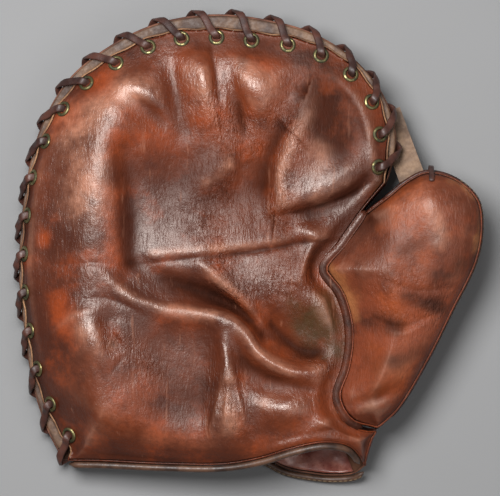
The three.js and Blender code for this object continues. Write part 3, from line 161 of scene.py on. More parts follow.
# Folds and creases on the chart, in the same way. A sharp one comes to an edge along its line, and a
# step is high on one side of it.
PALM_FOLDS = [
    (8, [(122, 150, -0.8), (126, 200, -1.4), (128, 255, -1.2), (124, 285, -0.5)]),
    (6, [(115, 82, 0), (135, 98, -1.2), (150, 108, -1.5), (160, 120, -0.5)]),
    (16, [(125, 80, 0.8), (150, 95, 0.8)]),
    (8, [(168, 48, -0.4), (172, 70, -1.8), (176, 100, -1.8), (181, 132, -0.6)]),
    (7, [(188, 48, 0.6), (202, 70, 1.5), (205, 95, 1.5), (208, 120, 0.5)]),
    (4, [(207, 30, -0.2), (213, 60, -1.4), (218, 90, -1.2), (220, 108, 0)], "sharp"),
    (2.2, [(226, 66, 0.2), (227, 90, 0.6), (224, 120, 0.2)]),
    (6, [(235, 85, -0.8), (242, 130, -1.6), (238, 200, -0.6)]),
    (13, [(238, 55, 0.7), (252, 75, 1.3), (268, 95, 0.7)]),
    (7, [(308, 115, 1.0), (300, 130, 1.8), (290, 150, 2.0), (280, 175, 1.6), (282, 205, 0.6)]),
    (8, [(300, 95, -0.4), (285, 125, -1.6), (265, 165, -1.8), (262, 200, -0.6)]),
    (20, [(320, 150, 0.8), (322, 190, 0.8)]),
    (5, [(384, 152, 0.6), (360, 180, 2.2), (340, 193, 2.4), (320, 200, 2.4), (290, 208, 1.8),
        (266, 214, 0)], "step"),
    (2.4, [(384, 170, -0.5), (360, 189, -1.8), (340, 199, -2.2), (320, 206, -2.0), (296, 212, -1.4),
        (268, 217, -0.3)], "sharp"),
    (5, [(300, 225, 0.4), (320, 238, 1.2), (338, 238, 0.5)]),
    (3, [(340, 241, -0.6), (300, 243, -2.0), (280, 247, -2.2), (250, 252, -2.4), (220, 256, -2.2),
        (200, 258, -1.6), (160, 262, -1.0), (140, 264, -0.2)], "sharp"),
    (6, [(140, 254, 0.3), (170, 252, 0.9), (200, 251, 0.9), (240, 245, 0.8), (290, 237, 0.4)]),
    (4, [(311, 247, 0.4), (305, 265, 1.0), (302, 276, 0.3)]),
    (2.6, [(275, 290, 0.1), (288, 291, 0.6), (300, 290, 0.1)]),
    (2.6, [(278, 281, 0.1), (290, 281, 0.5), (302, 280, 0.1)]),
    (7, [(135, 265, -0.4), (160, 275, -1.2), (190, 285, -1.6), (215, 297, -2.0), (235, 310, -2.2),
        (250, 322, -1.8), (262, 340, -0.6)]),
    (7, [(105, 275, 0.3), (118, 287, 1.1), (135, 299, 1.5), (155, 304, 1.3), (170, 314, 1.2),
        (200, 316, 1.0), (225, 317, 1.3), (240, 325, 1.5), (250, 337, 1.7), (256, 350, 1.9),
        (270, 361, 1.9), (290, 370, 1.7), (310, 371, 1.2), (328, 364, 0.4)]),
    (4, [(200, 262, 0.2), (220, 282, 1.0), (240, 300, 1.2), (260, 322, 1.2), (275, 336, 0.4)]),
    (6, [(265, 300, -0.4), (270, 320, -1.5), (280, 335, -2.0), (300, 350, -2.0), (322, 354, -0.8)]),
    (5, [(222, 338, 0.3), (226, 360, 1.3), (228, 376, 1.5), (229, 405, 1.2), (232, 424, 0.3)]),
    (3.2, [(226, 366, 0.4), (220, 390, 1.6), (215, 410, 1.6), (211, 436, 0.4)]),
    (2.6, [(228, 380, 0.4), (226, 400, 1.2), (225, 424, 1.0), (224, 442, 0.2)]),
    (3.2, [(231, 366, 0.4), (237, 390, 1.6), (242, 412, 1.4), (250, 442, 0.3)]),
    (6, [(235, 342, -0.5), (245, 360, -1.7), (270, 375, -2.2), (300, 385, -2.0), (328, 395, -0.6)]),
    (12, [(252, 400, 0.7), (275, 408, 1.3), (295, 402, 1.3), (318, 395, 0.5)]),
    (6, [(298, 442, 0.1), (320, 425, 1.2), (340, 418, 1.6), (355, 420, 1.4), (377, 431, 0.3)]),
    (8, [(108, 322, -0.6), (113, 342, -1.1)]),
    (3, [(104, 382, 0), (120, 362, -1.0), (131, 348, 0)], "sharp"),
    (5, [(38, 347, 0), (55, 330, 0.9), (75, 315, 1.2), (102, 307, 0.5)]),
    (2.6, [(45, 265, -0.3), (80, 264, -0.9), (128, 262, -0.3)], "sharp"),
    (2.6, [(63, 303, 0), (100, 298, -0.9), (125, 305, -0.9), (152, 321, 0)], "sharp"),
]
THUMB_FOLDS = [
    (3, [(378, 279, -0.3), (400, 286, -1.0), (420, 290, -1.1), (457, 287, -0.4)], "sharp"),
    (4, [(373, 317, -0.5), (400, 325, -1.3), (420, 320, -1.1), (442, 309, -0.4)], "sharp"),
    (4, [(378, 326, 0.3), (402, 333, 0.8), (436, 318, 0.2)]),
    (6, [(352, 406, -0.9), (375, 398, -1.9), (398, 387, -0.6)]),
    (12, [(430, 205, 0.6), (438, 240, 0.6)]), (8, [(360, 409, 0.8), (380, 404, 0.8)]),
    (5, [(440, 192, 0.2), (452, 184, 0.8), (458, 180, 0.2)]),
]

# Stains, wear, painted shade and painted highlight on the chart: half width, and (u, v, strength)
# along the mark
STAINS = {
    "red": [
        (22, [(100, 78, 0.9)]), (15, [(48, 128, 0.8), (72, 118, 0.8)]), (10, [(44, 240, 0.9)]),
        (15, [(56, 302, 0.8), (66, 330, 0.7)]), (16, [(108, 195, 0.6), (114, 260, 0.7)]),
        (26, [(125, 135, 0.7), (170, 142, 0.6)]), (14, [(180, 60, 0.5)]), (22, [(210, 120, 0.5)]),
        (16, [(350, 150, 0.5)]), (24, [(130, 420, 0.5), (190, 440, 0.5)]),
        (22, [(365, 390, 0.8), (400, 380, 0.7)]), (30, [(420, 210, 0.4), (400, 330, 0.5)]),
        (22, [(385, 205, 0.6), (415, 184, 0.8), (445, 190, 0.5)]),
    ],
    # Partly stains, and partly painted shade along the valleys and creases of the palm and the thumb
    "dark": [
        (10, [(29, 150, 0.6), (30, 250, 0.6)]), (30, [(322, 88, 1.0), (342, 128, 0.8)]),
        (12, [(180, 44, 0.4), (250, 44, 0.6), (320, 60, 0.7)]),
        (10, [(126, 222, 0.7), (128, 262, 0.7)]), (16, [(175, 285, 0.7), (215, 292, 0.7)]),
        (30, [(165, 350, 0.6), (180, 400, 0.5)]), (12, [(410, 296, 0.9), (440, 306, 0.9)]),
        (11, [(366, 318, 0.8), (395, 328, 0.8)]), (12, [(360, 225, 0.7), (380, 215, 0.7)]),
        (12, [(438, 276, 0.8), (462, 262, 0.8)]), (10, [(395, 360, 0.6), (420, 350, 0.6)]),
        (10, [(400, 250, 0.5), (420, 244, 0.5)]), (12, [(240, 362, 0.5), (300, 386, 0.5)]),
        (34, [(350, 350, 0.4), (375, 400, 0.7)]), (14, [(240, 330, 0.5)]),
        (40, [(160, 165, 0.45), (240, 190, 0.4)]), (36, [(320, 105, 0.5), (334, 165, 0.45)]),
    ],
    "matt": [
        (48, [(140, 150, 0.8), (180, 165, 0.9)]), (34, [(245, 165, 0.7), (260, 225, 0.6)]),
        (20, [(285, 250, 0.8), (302, 272, 0.6)]), (34, [(330, 95, 1.0), (345, 130, 0.9)]),
        (30, [(90, 250, 0.5)]), (26, [(190, 300, 0.7), (300, 320, 0.7)]),
        (40, [(120, 430, 0.6), (180, 400, 0.6)]), (40, [(380, 300, 0.5), (380, 380, 0.8)]),
    ],
    "olive": [
        (20, [(300, 312, 1.0), (318, 342, 1.0)]), (16, [(330, 300, 0.6), (338, 350, 0.7)]),
        (7, [(381, 172, 0.7), (376, 199, 0.7), (365, 212, 0.6)]),
    ],
    "tan": [
        (6, [(328, 266, 0.8), (339, 282, 0.9), (350, 302, 0.9), (356, 318, 0.6)]),
        (8, [(345, 276, 0.4), (356, 296, 0.4)]), (4, [(463, 186, 0.9), (472, 198, 0.9)]),
        (3.4, [(475, 238, 0.9), (473, 252, 0.9)]), (5, [(449, 182, 0.8), (456, 181, 0.8)]),
        (3, [(478, 200, 0.5), (478, 248, 0.5)]),
    ],
    # Pale crest marks: partly rubbed wear, partly painted highlight where the leather faces the light
    "wear_and_highlight": [
        (9, [(196, 60, 0.4), (204, 90, 0.5)]), (18, [(250, 78, 0.45), (268, 92, 0.4)]),
        (26, [(78, 135, 0.8), (84, 200, 0.8)]), (16, [(100, 110, 0.7)]), (20, [(128, 88, 0.8)]),
        (16, [(316, 155, 0.7), (322, 192, 0.7)]), (11, [(85, 330, 0.7)]), (7, [(112, 345, 0.6)]),
        (6, [(227, 350, 0.4), (228, 376, 0.5)]), (13, [(226, 398, 0.6), (229, 425, 0.6)]),
        (7, [(290, 140, 0.6), (281, 175, 0.8), (282, 200, 0.5)]),
        (8, [(205, 182, 0.4), (228, 165, 0.7)]), (7, [(340, 410, 0.7)]),
        (10, [(262, 402, 0.6), (300, 404, 0.5)]), (12, [(434, 210, 0.5), (438, 240, 0.5)]),
        (6, [(150, 252, 0.5), (240, 246, 0.6), (290, 238, 0.4)]), (8, [(370, 405, 0.6)]),
        (6, [(120, 288, 0.5), (155, 304, 0.5), (225, 317, 0.4), (256, 350, 0.5), (290, 370, 0.5)]),
    ],
    "wrinkled": [
        (20, [(222, 105, 1.0), (250, 140, 1.0)]), (18, [(190, 215, 0.7), (215, 185, 0.7)]),
        (7, [(225, 90, 1.0), (225, 200, 1.0)]), (14, [(292, 120, 0.9), (285, 200, 0.9)]),
        (16, [(205, 220, 0.8), (235, 300, 1.0)]), (10, [(250, 290, 1.0)]),
        (14, [(115, 340, 0.9), (155, 368, 0.8)]), (16, [(222, 380, 0.9), (230, 430, 0.8)]),
        (14, [(275, 222, 0.9), (295, 228, 0.8)]), (16, [(280, 285, 1.0), (305, 292, 0.9)]),
        (12, [(305, 358, 1.0), (325, 362, 1.0)]), (14, [(380, 285, 0.7), (440, 290, 0.7)]),
        (14, [(380, 320, 0.7), (430, 316, 0.7)]), (12, [(275, 115, 0.7), (290, 140, 0.7)]),
    ],
}


# Plan, chart and outlines

def chart(points):
    """Chart places of plan places."""
    return np.column_stack([CHART_LEFT + points[:, 0] * CHART_WIDTH / BODY_WIDTH,
                            CHART_FOOT - points[:, 1] * CHART_HEIGHT / BODY_HEIGHT])


def on_thumb(rows):
    """Plan places from percent along the thumb and percent across it."""
    t = np.atleast_2d(np.array(rows, float))
    forward, aside = t[:, 0] / 100 * THUMB_LENGTH, t[:, 1] / 100 * THUMB_BREADTH
    root = np.array([SEAM[-1][0] / 100 * BODY_WIDTH, SEAM[-1][1] / 100 * BODY_HEIGHT])
    lean, cross = np.sin(THUMB_LEAN), np.cos(THUMB_LEAN)
    return root + np.column_stack([forward * lean + aside * cross, forward * cross - aside * lean])


def on_body(rows):
    """Plan places from percent of the body's width and height."""
    t = np.atleast_2d(np.array(rows, float))
    return np.column_stack([t[:, 0] / 100 * BODY_WIDTH, t[:, 1] / 100 * BODY_HEIGHT])


def along_thumb(points):
    """How far up the thumb each plan place lies, from 0 to 1."""
    root = on_thumb([(0, 0)])[0]
    forward = (points - root) @ np.array([np.sin(THUMB_LEAN), np.cos(THUMB_LEAN)])
    return np.clip(forward / THUMB_LENGTH, 0, 1)


def body_rows(table, lift=2, step=False):
    """x, y, lift, tilt, roll and step of an outline table. lift: the column to take the lift from."""
    t = np.array(table, float)
    none = t[:, 0] * 0
    tilt, roll = (t[:, -2], t[:, -1]) if t.shape[1] > 4 else (none, none)
    step = t[:, 3] / 100 * PALM_STEP if step else none
    return np.column_stack([on_body(t[:, :2]), t[:, lift] / 100 * RIM_LIFT, tilt,
                            roll / 100 * HEM_WIDTH, step])


def unit(rows):
    return rows / np.linalg.norm(rows, axis=1)[:, None]


def left_of(ring):
    """Unit vectors to the left along a closed ring of places."""
    way = unit(np.roll(ring, -1, 0) - np.roll(ring, 1, 0))
    return np.column_stack([-way[:, 1], way[:, 0]])


def lengths(path):
    """How far along a path each of its places lies."""
    return np.r_[0, np.cumsum(np.linalg.norm(np.diff(path, axis=0), axis=1))]


def sampled(at, run, rows, columns):
    """The first columns of rows of values, at places along a run."""
    return np.column_stack([np.interp(at, run, rows[:, k]) for k in range(columns)])


def smooth_stretch(rows, step=2.0):
    """Even samples on a centripetal spline through the rows."""
    p = rows[:, :3]
    p = np.vstack([2 * p[0] - p[1], p, 2 * p[-1] - p[-2]])
    gaps = np.linalg.norm(np.diff(p, axis=0), axis=1) ** 0.5
    fine = []
    s = np.linspace(0, 1, 80, endpoint=False)[:, None]
    for k in range(len(rows) - 1):
        a, b, c, d = p[k:k + 4]
        g0, g1, g2 = gaps[k:k + 3]
        t1 = ((b - a) / g0 - (c - a) / (g0 + g1) + (c - b) / g1) * g1
        t2 = ((c - b) / g1 - (d - b) / (g1 + g2) + (d - c) / g2) * g1
        square, cube = -3 * b + 3 * c - 2 * t1 - t2, 2 * b - 2 * c + t1 + t2
        spot = b + t1 * s + square * s ** 2 + cube * s ** 3
        fine.append(np.hstack([spot, rows[k, 3:] + (rows[k + 1, 3:] - rows[k, 3:]) * s]))
    fine = np.vstack(fine + [rows[-1:]])
    run = lengths(fine[:, :3])
    count = max(2, round(run[-1] / step))
    return sampled(np.linspace(0, run[-1], count + 1), run, fine, 6)


def thumb_rows(seam):
    """Rows of the thumb's outer edge. Their tilt column says how full the padding is, from 0 to 1."""
    t = np.array(THUMB_EDGE, float)
    rest = np.ones(len(t))
    edge = np.column_stack([on_thumb(t[:, :2]), t[:, 2] / 100 * THUMB_LIFT, rest, EDGE_ROLL * rest,
                            0 * rest])
    joined = [np.r_[row[:3], JOIN_FULLNESS, 0.5 * (SEAM_ROLL + EDGE_ROLL), 0]
              for row in (seam[1], seam[-1])]
    return np.vstack([joined[0], edge, joined[1]])


class Outline:
    """A closed outline from named stretches of samples, each moved inward by its own distance."""

    def __init__(self, stretches, inset):
        self.rows = np.vstack([samples[:-1] for _, samples in stretches])
        self.names = [name for name, samples in stretches for _ in samples[:-1]]
        moves = self.rows[:, 5] + np.array([inset[name] for name in self.names])
        self.rows[:, :2] += self.inward() * moves[:, None]

    def inward(self):
        return -left_of(self.rows[:, :2])

    def narrowed(self, distance):
        other = object.__new__(Outline)
        other.rows, other.names = self.rows.copy(), self.names
        other.rows[:, :2] += self.inward() * np.reshape(distance, (-1, 1))
        return other

    def edge(self, points):
        """Distance to the outline, and its lift, tilt and roll near each point."""
        a = self.rows[:, :2]
        values, after = self.rows[:, 2:5], np.roll(self.rows[:, 2:5], -1, 0)
        run = np.roll(a, -1, 0) - a
        length2 = np.maximum((run ** 2).sum(1), 1e-9)
        away, mixed = np.empty(len(points)), np.empty((len(points), 3))
        for k in range(0, len(points), 3000):
            p = points[k:k + 3000]
            dx, dy = p[:, :1] - a[:, 0], p[:, 1:] - a[:, 1]
            share = np.clip((dx * run[:, 0] + dy * run[:, 1]) / length2, 0, 1)
            away2 = (dx - share * run[:, 0]) ** 2 + (dy - share * run[:, 1]) ** 2
            weight = np.sqrt(length2) / (away2 * away2 + 1)
            total = weight.sum(1)[:, None]
            mixed[k:k + 3000] = (weight @ values + (weight * share) @ (after - values)) / total
            away[k:k + 3000] = np.sqrt(away2.min(1))
        return away, mixed[:, 0], mixed[:, 1], mixed[:, 2]

    def nearest(self, points):
        """The sample next to each point."""
        return [int(np.argmin(((self.rows[:, :2] - p) ** 2).sum(1))) for p in points]

    def boundary(self, fixed, n):
        """4 n places on the outline. fixed: how many places some of the stretches get."""
        starts = [i for i, name in enumerate(self.names) if i == 0 or name != self.names[i - 1]]
        runs = [np.vstack([self.rows[a:b], self.rows[b % len(self.rows)][None]])
                for a, b in zip(starts, starts[1:] + [len(self.rows)])]
        counts = [fixed.get(self.names[a], 0) for a in starts]
        counts[counts.index(0)] = 4 * n - sum(counts)
        places = []
        for run, count in zip(runs, counts):
            at = np.linspace(0, len(run) - 1, count, endpoint=False)
            places.append(sampled(at, np.arange(len(run)), run, 2))
        return np.vstack(places)


rim = smooth_stretch(body_rows(RIM, step=True))
seam_top_rows = body_rows(SEAM, 2)
heel_side_top = smooth_stretch(body_rows(HEEL_SIDE, 2))
heel_side_under = smooth_stretch(body_rows(HEEL_SIDE, 3))
palm_heel = smooth_stretch(body_rows(PALM_HEEL))
back_heel = smooth_stretch(body_rows(BACK_HEEL))
thumb_edge = smooth_stretch(thumb_rows(seam_top_rows))


def split_seam(lift):
    """Samples of the crotch and of the seam under it."""
    rows = body_rows(SEAM, lift)
    samples = smooth_stretch(rows)
    nearest = np.argmin(np.hypot(samples[:, 0] - rows[1, 0], samples[:, 1] - rows[1, 1]))
    return samples[:nearest + 1], samples[nearest:]


crotch_top, seam_top = split_seam(2)
crotch_under, seam_under = split_seam(3)
rim_low = rim.copy()
rim_low[:, 2] -= STACK
rim_low[:, 5] = 0
thumb_seam = seam_top[::-1].copy()
thumb_seam[:, 3:5] = 0, SEAM_ROLL

palm_outline = Outline(
    [("rim", rim), ("crotch", crotch_top), ("seam", seam_top), ("side", heel_side_top),
     ("heel", palm_heel)],
    {"rim": 0, "crotch": SEAM_SIDE, "seam": SEAM_SIDE, "side": 1, "heel": 0})
back_outline = Outline(
    [("rim", rim_low), ("crotch", crotch_under), ("seam", seam_under), ("side", heel_side_under),
     ("heel", back_heel)],
    {"rim": 0, "crotch": GAP, "seam": GAP, "side": 0, "heel": 0})
thumb_outline = Outline([("seam", thumb_seam), ("edge", thumb_edge)], {"seam": SEAM_SIDE, "edge": 0.8})
thumb_back_outline = Outline([("seam", seam_under[::-1]), ("edge", thumb_edge)],
                             {"seam": GAP, "edge": 0})


# Levels

# How far each kind of stroke reaches, in half widths. SHOULDER: how round a steep hem turns into the
# padding. THUMB_FADE: the thumb's folds start this far from its edge.
SHOULDER, THUMB_FADE = 1.2, 6
REACH = {"sharp": 4, "lean": 4, "step": 3.2, "round": 2.6}


def near_line(points, line):
    """Distance to a line through places, position along it in rows, and the side each point is on."""
    best = np.full(len(points), np.inf)
    position, side = np.zeros(len(points)), np.ones(len(points))
    for k, (a, b) in enumerate(zip(line[:-1], line[1:])):
        run, d = b - a, points - a
        share = np.clip(d @ run / max(run @ run, 1e-9), 0, 1)
        away2 = ((d - share[:, None] * run) ** 2).sum(1)
        closer = away2 < best
        best[closer] = away2[closer]
        position[closer] = k + share[closer]
        side[closer] = np.sign(run[0] * d[closer, 1] - run[1] * d[closer, 0])
    return np.sqrt(best), position, side


def smooth_line(rows, steps=6):
    """A finer line through rows of values, on a uniform spline."""
    r = np.array(rows, float)
    if len(r) == 1:
        return np.vstack([r, r + 1e-3])
    p = np.vstack([2 * r[0] - r[1], r, 2 * r[-1] - r[-2]])
    s = np.linspace(0, 1, steps, endpoint=False)[:, None]
    out = []
    for a, b, c, d in zip(p, p[1:], p[2:], p[3:]):
        out.append(b + 0.5 * s * (c - a + s * (2 * a - 5 * b + 4 * c - d + s * (3 * (b - c) + d - a))))
    return np.vstack(out + [r[-1:]])


def drawn(points, strokes):
    """Sum of strokes on the chart: half width, rows of u, v and height, and the kind if not round."""
    total = np.zeros(len(points))
    places = chart(points)
    for width, rows, *kind in strokes:
        kind = kind[0] if kind else "round"
        line = smooth_line(rows)
        reach = width * REACH[kind]
        low, high = line[:, :2].min(0) - reach, line[:, :2].max(0) + reach
        inside = np.flatnonzero(((places > low) & (places < high)).all(1))
        if not len(inside):
            continue
        away, at, side = near_line(places[inside], line[:, :2])
        height = np.interp(at, np.arange(len(line)), line[:, 2])
        d = away / width
        if kind == "round":
            shape = np.exp(-d * d)
        elif kind == "lean":
            shape = np.exp(-(d / np.where(side > 0, 1.6, 0.65)) ** 2)
        elif kind == "sharp":
            shape = np.exp(-(np.sqrt(d * d + 0.09) - 0.3))
        else:
            shape = 0.5 * side * np.tanh(1.6 * d) * np.exp(-(d / 2.2) ** 2)
        total[inside] += height * shape
    return total


def hem_fade(away, run):
    """0 in the hem and 1 past it. run: the width of a full hem here."""
    t = np.clip((away - 0.35 * run) / (1.1 * run), 0, 1)
    return t * t * (3 - 2 * t)


def palm_level(points, detail=True):
    """Heights of the palm's outer side: the hem's slope, and the padding's rise past it."""
    away, lift, tilt, roll = palm_outline.edge(points)
    table = PALM_FORMS if detail else [row for row in PALM_FORMS if row[0] > BROAD_FORM]
    crest = PADDING_TOP + FORM_GAIN * drawn(points, table)
    soft = np.clip(14 - 0.22 * tilt, 1.5, 9)
    steep = np.clip((tilt - 30) / 15, 0, 1)
    tilt = np.radians(tilt)
    flat = np.clip(0.6 * (roll - 20), 2, HEM_WIDTH)
    hem = flat * np.cos(tilt)
    share = np.clip((away - hem) / np.maximum(roll - hem, 1), 0, 1)
    straight = lift + away * np.tan(tilt)
    hem_top = lift + hem * np.tan(tilt)
    padded = hem_top + (crest - hem_top) * (1 - (1 - share) ** 2)
    bend = np.clip((away - hem) / soft, 0, 1)
    bent = straight + (padded - straight) * bend * bend * (3 - 2 * bend)
    apart = abs(straight - padded) / SHOULDER
    rounded = np.minimum(straight, padded) - SHOULDER * np.log1p(np.exp(-apart))
    level = bent + (rounded - bent) * steep
    if detail:
        level = level + FOLD_GAIN * drawn(points, PALM_FOLDS) * hem_fade(away, flat)
    return level + STACK + LEATHER


def thumb_level(points, detail=True):
    away, lift, full, roll = thumb_outline.edge(points)
    crest = THUMB_TOP - THUMB_ROOT_DROP * (1 - along_thumb(points))
    if detail:
        crest = crest + FORM_GAIN * drawn(points, THUMB_FORMS)
    share = np.clip(away / np.maximum(roll, 1), 0, 1)
    low = lift + STACK + LEATHER
    soft = 1 - (1 - share) ** 2
    level = low + (crest - low) * (soft + (np.sqrt(soft) - soft) * full)
    if detail:
        level = level + FOLD_GAIN * drawn(points, THUMB_FOLDS) * np.clip(away / THUMB_FADE, 0, 1)
    return level


def back_level(points):
    away, lift, _, _ = back_outline.edge(points)
    return np.maximum(0, lift - BACK_LEATHER) * (1 - np.clip(away / BOWL_RUN, 0, 1)) ** 2


def thumb_back_level(points):
    away, lift, _, _ = thumb_back_outline.edge(points)
    share = np.clip(away / THUMB_BOWL_RUN, 0, 1)
    floor = THUMB_RISE * along_thumb(points) ** THUMB_CURVE
    return floor + (lift - STACK - BACK_LEATHER - floor) * (1 - share) ** 2


# Grids and meshes

def relax(p, rounds):
    """Evens out the cells of a grid with a fixed edge, so that none of them folds over."""
    for _ in range(rounds):
        west, east, south, north = p[1:-1, :-2], p[1:-1, 2:], p[:-2, 1:-1], p[2:, 1:-1]
        ex, nx = east - west, north - south
        alpha = (nx ** 2).sum(-1, keepdims=True) + 1e-6
        gamma = (ex ** 2).sum(-1, keepdims=True) + 1e-6
        beta = (ex * nx).sum(-1, keepdims=True)
        cross = p[2:, 2:] - p[2:, :-2] - p[:-2, 2:] + p[:-2, :-2]
        pull = alpha * (east + west) + gamma * (north + south) - beta / 2 * cross
        p[1:-1, 1:-1] = pull / (2 * (alpha + gamma))


def ring_ids(size):
    """Indices of a square grid's edge, clockwise from its lower left corner."""
    ids = np.arange(size * size).reshape(size, size)
    return np.r_[ids[:-1, 0], ids[-1, :-1], ids[:0:-1, -1], ids[0, :0:-1]]


def finer(p, factor):
    """A grid with factor times the cells."""
    at = np.linspace(0, len(p) - 1, (len(p) - 1) * factor + 1)
    low = np.minimum(at.astype(int), len(p) - 2)
    share = (at - low)[:, None, None]
    p = p[low] * (1 - share) + p[low + 1] * share
    p = p.transpose(1, 0, 2)
    p = p[low] * (1 - share) + p[low + 1] * share
    return p.transpose(1, 0, 2)


COARSE_ROUNDS, FINE_ROUNDS = 300, 160


def wrap_grid(outline, centre, core, n, fixed, doublings, factor):
    """A square grid wrapped on an outline: a coarse one, evened out, and the fine one of it."""
    edge = outline.boundary(fixed, n)
    start = np.arctan2(*(edge[0] - centre)[::-1])
    v, u = np.meshgrid(np.linspace(-1, 1, n + 1), np.linspace(-1, 1, n + 1), indexing="ij")
    ring = np.maximum(abs(u), abs(v))
    safe = np.where(ring > 0, ring, 1)
    lap = np.where(-u == ring, (v / safe + 1) / 2,
                   np.where(v == ring, 1 + (u / safe + 1) / 2,
                            np.where(u == ring, 2 + (1 - v / safe) / 2, 3 + (1 - u / safe) / 2)))
    at = (lap * n) % (4 * n)
    low = at.astype(int) % (4 * n)
    share = (at - at.astype(int))[..., None]
    spot = edge[low] * (1 - share) + edge[(low + 1) % (4 * n)] * share
    angle = start - lap / 4 * 2 * np.pi
    inner = centre + (ring * core)[..., None] * np.stack([np.cos(angle), np.sin(angle)], -1)
    pull = (ring ** 2)[..., None]
    grid = (1 - pull) * inner + pull * spot
    relax(grid, COARSE_ROUNDS)
    for _ in range(doublings):
        n *= 2
        fixed = {name: 2 * count for name, count in fixed.items()}
        grid = finer(grid, 2)
        grid[np.divmod(ring_ids(n + 1), n + 1)] = outline.boundary(fixed, n)
        relax(grid, FINE_ROUNDS)
    return grid, finer(grid, factor)


def new_mesh(name, points, faces, materials, indices=None, attributes=None):
    """A mesh object from points in plan millimetres and faces of three or four corners."""
    points = np.asarray(points, float)
    metres = np.column_stack([points[:, :2] - ORIGIN, points[:, 2]]) / 1000
    mesh = bpy.data.meshes.new(name)
    quads = [np.asarray(f, np.int32) for f in faces if len(f)]
    mesh.vertices.add(len(metres))
    mesh.vertices.foreach_set("co", metres.astype(np.float32).ravel())
    corners = np.concatenate([f.ravel() for f in quads])
    sizes = np.concatenate([np.full(len(f), f.shape[1], np.int32) for f in quads])
    mesh.loops.add(len(corners))
    mesh.loops.foreach_set("vertex_index", corners.astype(np.int32))
    mesh.polygons.add(len(sizes))
    mesh.polygons.foreach_set("loop_start", np.r_[0, np.cumsum(sizes)[:-1]].astype(np.int32))
    if indices is not None:
        mesh.polygons.foreach_set("material_index", np.concatenate(indices).astype(np.int32))
    mesh.update(calc_edges=True)
    mesh.validate()
    mesh.polygons.foreach_set("use_smooth", np.ones(len(mesh.polygons), bool))
    for key, values in (attributes or {}).items():
        mesh.attributes.new(key, "FLOAT", "POINT").data.foreach_set("value", values.astype(np.float32))
    for material in materials:
        mesh.materials.append(material)
    piece = bpy.data.objects.new(name, mesh)
    bpy.context.scene.collection.objects.link(piece)
    return piece


def finish_piece(piece, nodes):
    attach(piece, "root")
    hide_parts(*nodes)


def blurred(z, rounds):
    """A grid of values, smoothed."""
    for _ in range(rounds):
        p = np.pad(z, 1, mode="edge")
        z = (p[:-2, 1:-1] + p[2:, 1:-1] + p[1:-1, :-2] + p[1:-1, 2:] + 4 * z) / 8
    return z


def band(a, b, flip=False):
    """Quads between two closed rings of indices, or between rows of such rings."""
    corners = [a, b, np.roll(b, -1, -1), np.roll(a, -1, -1)]
    return np.stack(corners[:1] + corners[:0:-1] if flip else corners, -1).reshape(-1, 4)


def cell_quads(rows, columns, first=0, flip=False):
    ids = first + np.arange(rows * columns).reshape(rows, columns)
    a, b, c, d = ids[:-1, :-1], ids[:-1, 1:], ids[1:, 1:], ids[1:, :-1]
    quads = np.stack([a, b, c, d], -1).reshape(-1, 4)
    return quads[:, ::-1] if flip else quads


# PROBE: half the run over which slopes are measured. LEAST_DEPTH: the padding's least thickness.
# HOLLOW, BROAD: the depths that count as full in the marks of small and of wide hollows, which set
# painted shade in the hollows and painted highlight on the crests, and fade over MARK_RUN towards the
# edge.
PROBE, LEAST_DEPTH = 1.5, 4
HOLLOW, BROAD, BROAD_ROUNDS, MARK_RUN = 0.8, 2.5, 10, 6
WALL_ANGLES = np.radians([60, 35, 12, -12, -35, -60, -90])


